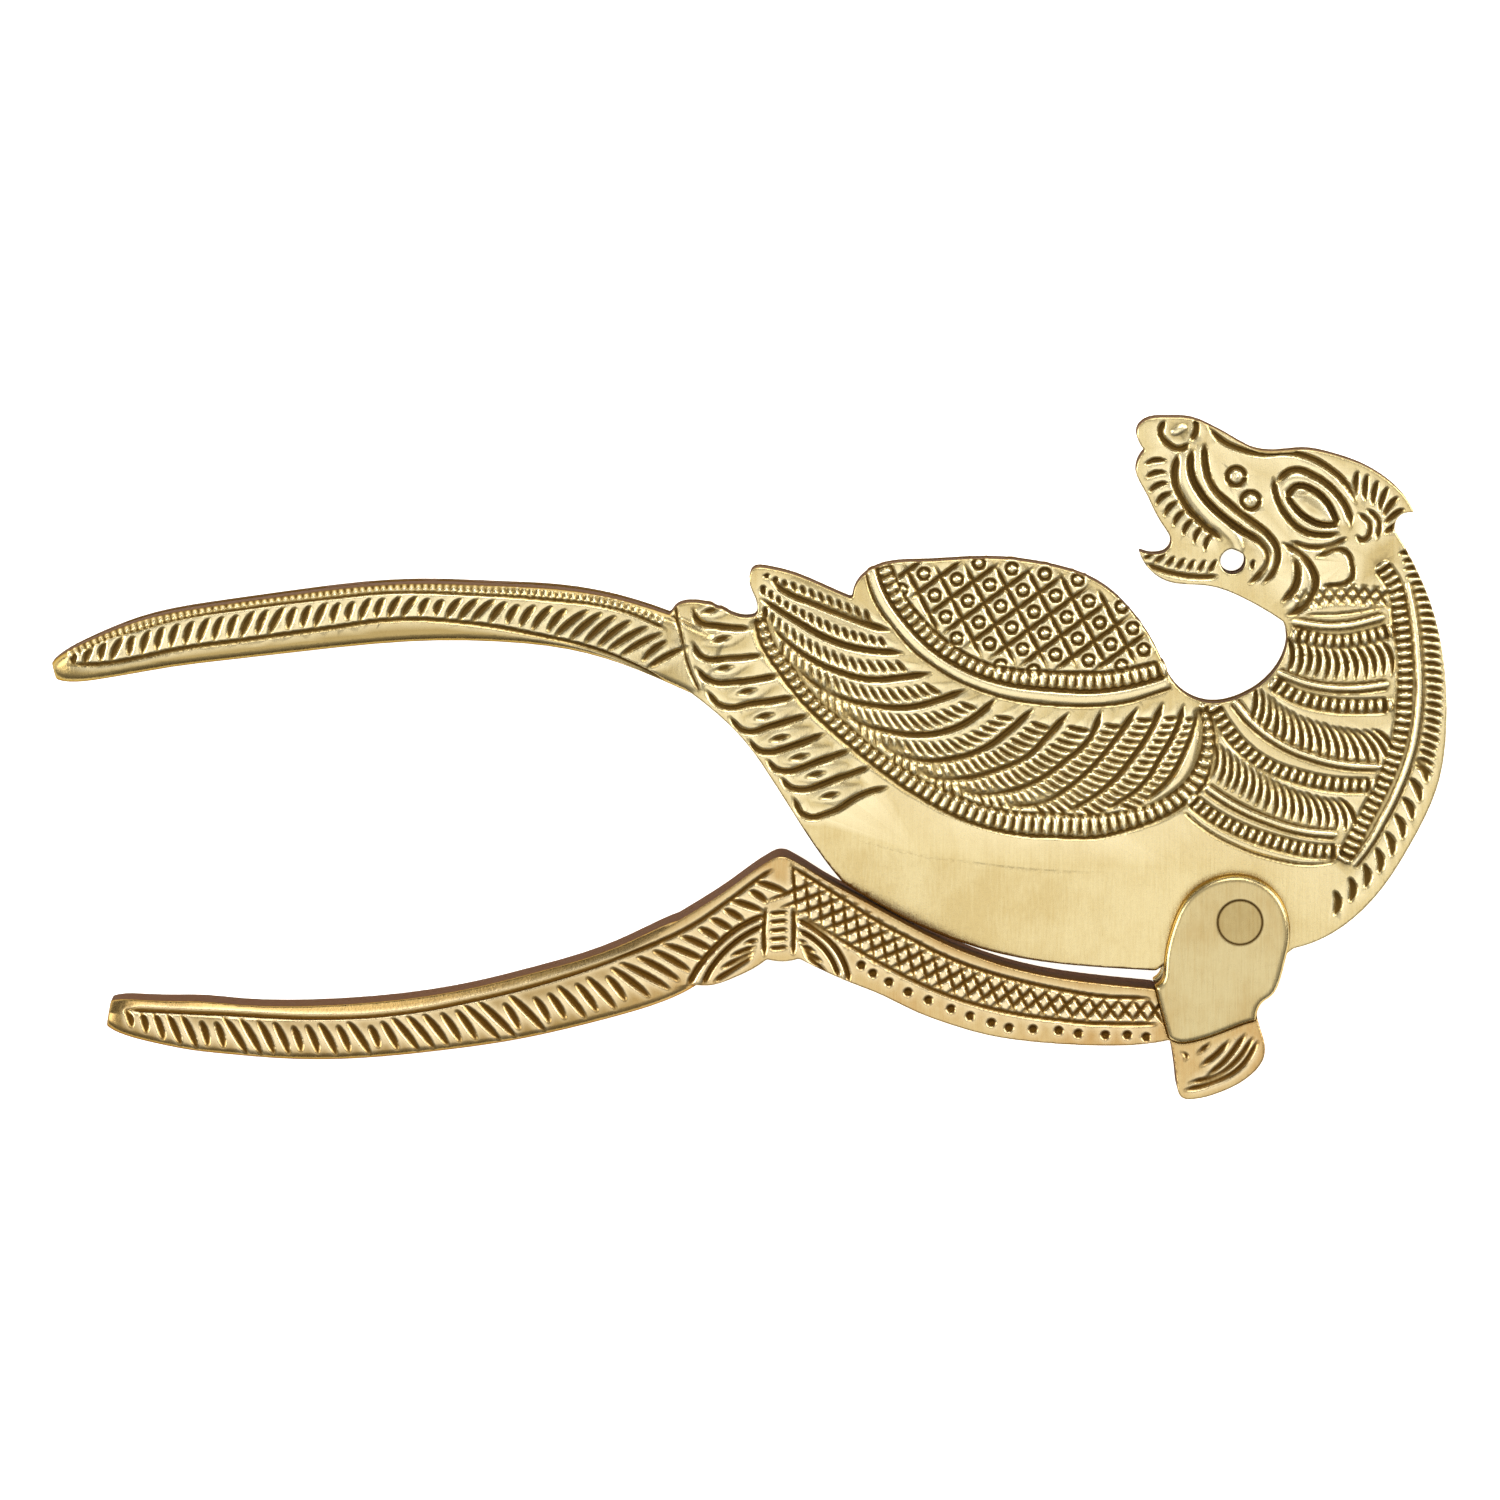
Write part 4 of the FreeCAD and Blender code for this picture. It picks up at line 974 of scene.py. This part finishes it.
def front_half(mesh):
    """Keeps what lies above the parting plane, open along it."""
    build = bmesh.new()
    build.from_mesh(mesh)
    everything = build.verts[:] + build.edges[:] + build.faces[:]
    bmesh.ops.bisect_plane(
        build, geom=everything, dist=1e-7, plane_co=(0, 0, MIDDLE), plane_no=(0, 0, 1), clear_inner=True
    )
    build.to_mesh(mesh)
    build.free()


def close_parting(mesh):
    """Fills the parting plane, bores left open."""
    build = bmesh.new()
    build.from_mesh(mesh)
    rim = [edge for edge in build.edges if edge.is_boundary]
    filled = bmesh.ops.triangle_fill(build, use_beauty=True, edges=rim, normal=(0, 0, -1))
    faces = [item for item in filled["geom"] if isinstance(item, bmesh.types.BMFace)]
    for face in faces:
        face.smooth = False
    bmesh.ops.recalc_face_normals(build, faces=build.faces)
    still_open = sum(edge.is_boundary for edge in build.edges)
    build.to_mesh(mesh)
    build.free()
    return still_open


def thinned(mesh, name):
    """The mesh with fewer triangles where it is flat."""
    obj = bpy.data.objects.new(name, mesh)
    bpy.context.scene.collection.objects.link(obj)
    count = sum(len(p.vertices) - 2 for p in mesh.polygons)
    if count > TRIANGLES:
        fewer = obj.modifiers.new("fewer", "DECIMATE")
        fewer.ratio = TRIANGLES / count
        depsgraph = bpy.context.evaluated_depsgraph_get()
        result = bpy.data.meshes.new_from_object(obj.evaluated_get(depsgraph), depsgraph=depsgraph)
        obj.modifiers.clear()
        obj.data = result
    print(f"{name}: {count} triangles cut to {sum(len(p.vertices) - 2 for p in obj.data.polygons)}")
    return obj


def shade(obj):
    """Smooth shading in which the larger face leads, so that flat areas stay flat."""
    for polygon in obj.data.polygons:
        polygon.use_smooth = True
    weighted = obj.modifiers.new("shade", "WEIGHTED_NORMAL")
    weighted.mode = "FACE_AREA_WITH_ANGLE"
    depsgraph = bpy.context.evaluated_depsgraph_get()
    result = bpy.data.meshes.new_from_object(obj.evaluated_get(depsgraph), depsgraph=depsgraph)
    obj.modifiers.clear()
    obj.data = result


def mirrored(obj, name):
    """The same shell on the other side of the parting plane."""
    mesh = obj.data.copy()
    build = bmesh.new()
    build.from_mesh(mesh)
    for vert in build.verts:
        vert.co.z = 2 * MIDDLE - vert.co.z
    bmesh.ops.reverse_faces(build, faces=build.faces)
    build.to_mesh(mesh)
    build.free()
    twin = bpy.data.objects.new(name, mesh)
    bpy.context.scene.collection.objects.link(twin)
    return twin


def carve(node, body, raised, cut, material, ease):
    """Both carved shells of one casting, in place of its CAD node."""
    skin = even_skin(node, SKIN_MM, ease)
    front_half(skin)
    carrier = bpy.data.objects.new(node + "_carrier", skin)
    bpy.context.scene.collection.objects.link(carrier)
    values = {"Raised": raised, "Cut": cut, "Metal": material}
    for word, reach_mm in (("Soften", 0.2), ("Blur", 0.9), ("Wide Blur", 1.5)):
        values[word] = round((reach_mm / SKIN_MM) ** 2)
    pressed = apply_tree(carrier, press_tree, values)
    bpy.data.objects.remove(carrier)
    open_edges = close_parting(pressed)
    front = thinned(pressed, f"{node}_front")
    back = mirrored(front, f"{node}_back")
    for shell in (front, back):
        shade(shell)
        shell.data.materials.clear()
        shell.data.materials.append(material)
        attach(shell, body)
        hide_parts(node)
    print(f"{node}: {open_edges} open edges after closing")


sheets = [sheet.finish() for sheet in (bird_raised, bird_cut, anvil_raised, anvil_cut)]
carve("upper_lever", "cutting_lever", sheets[0], sheets[1], bird_brass, 10)
carve("lower_lever", "anvil_lever", sheets[2], sheets[3], anvil_brass, 10)
for sheet in sheets:
    bpy.data.objects.remove(sheet)

# %% [markdown]
# ## Cheeks and rivet
#
# The cheeks were filed after the rivet was hammered, so their faces are smooth and the rivet shows
# only as a fine dark circle. They are remeshed from the CAD solids and eased a little more, as a
# file and years of handling leave them.

# %% Cheeks and rivet


def filed_piece(node, voxel_mm, ease, material):
    """A remeshed, eased copy of a small CAD node, in its place."""
    mesh = even_skin(node, voxel_mm, ease)
    obj = thinned(mesh, node + "_filed")
    shade(obj)
    obj.data.materials.clear()
    obj.data.materials.append(material)
    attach(obj, "anvil_lever")
    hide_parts(node)


filed_piece("front_cheek", 0.16, 8, cheek_brass)
filed_piece("rear_cheek", 0.16, 8, cheek_brass)
filed_piece("pivot_rivet", 0.1, 3, rivet_brass)

# %% [markdown]
# ## Floor, light and camera
#
# Brass shows what it mirrors. The tool lies on a light table, which glows white around it. A wide
# pale room and a soft light overhead give the faces their even glow, three soft lights from the
# sides model the chasing, and darker walls low down draw the edges. The camera looks almost
# straight down on the face, tipped a few degrees so that the upper edges show.

# %% Floor
floor_mesh = bpy.data.meshes.new("floor")
FLOOR_REACH = 1.2
corners = [(x * FLOOR_REACH, y * FLOOR_REACH, 0) for x, y in ((-1, -1), (1, -1), (1, 1), (-1, 1))]
floor_mesh.from_pydata(corners, [], [(0, 1, 2, 3)])
floor = bpy.data.objects.new("floor", floor_mesh)
bpy.context.scene.collection.objects.link(floor)
light_table = bpy.data.materials.new("light_table")
light_table.use_nodes = True
table = light_table.node_tree.nodes["Principled BSDF"].inputs
table["Base Color"].default_value = linear("#F6F5F2")
table["Roughness"].default_value = 0.9
table["Emission Color"].default_value = linear("#FFFFFF")
table["Emission Strength"].default_value = 0.85
floor_mesh.materials.append(light_table)
print(f"floor {2 * FLOOR_REACH} m wide")

# %% Lights


def softbox(name, place, aim, size, watts):
    """A square area light at place that points at aim."""
    data = bpy.data.lights.new(name, "AREA")
    data.shape = "SQUARE"
    data.size = size
    data.energy = watts
    lamp = bpy.data.objects.new(name, data)
    lamp.location = place
    lamp.rotation_euler = (Vector(aim) - Vector(place)).to_track_quat("-Z", "Y").to_euler()
    bpy.context.scene.collection.objects.link(lamp)


centre = Vector((-0.0669, 0.0237, TOP))
softbox("overhead", (-0.1, -0.2, 0.9), centre, 0.7, 1.25)
softbox("head_side", (0.7, 0.35, 0.5), centre, 0.6, 6)
softbox("grip_side", (-0.9, 0.1, 0.5), centre, 0.6, 6)
softbox("far_side", (0.0, 0.9, 0.6), centre, 0.6, 5)

world = bpy.data.worlds.new("room")
world.use_nodes = True
tree = world.node_tree
tree.nodes.clear()
direction = add(tree, "ShaderNodeTexCoord").outputs["Generated"]
height = add(tree, "ShaderNodeSeparateXYZ", {"Vector": direction}).outputs["Z"]
ramp = add(tree, "ShaderNodeValToRGB", {"Fac": height})
ramp.color_ramp.elements[0].position = 0.0
ramp.color_ramp.elements[0].color = linear("#453F36")
ramp.color_ramp.elements[1].position = 0.95
ramp.color_ramp.elements[1].color = linear("#F4F2EE")
background = add(tree, "ShaderNodeBackground", {"Color": ramp.outputs["Color"], "Strength": 0.8})
add(tree, "ShaderNodeOutputWorld", {"Surface": background.outputs[0]})
bpy.context.scene.world = world
bpy.context.scene.view_settings.view_transform = "Standard"
print("lights:", ", ".join(lamp.name for lamp in bpy.data.lights))

# %% Camera
TILT = math.radians(6.5)
DISTANCE = 1.5  # metres from the cheek's face
FIELD = 0.2044  # width of what the camera sees, at the cheek's face
camera_data = bpy.data.cameras.new("camera")
SENSOR_MM = 36
camera_data.sensor_width = SENSOR_MM
camera_data.lens = SENSOR_MM * DISTANCE / FIELD
camera = bpy.data.objects.new("camera", camera_data)
camera.location = centre + DISTANCE * Vector((0, math.sin(TILT), math.cos(TILT)))
camera.rotation_euler = (-TILT, 0, 0)
bpy.context.scene.collection.objects.link(camera)
bpy.context.scene.camera = camera
print(f"camera {DISTANCE} m away, tilted {math.degrees(TILT):.1f} degrees")
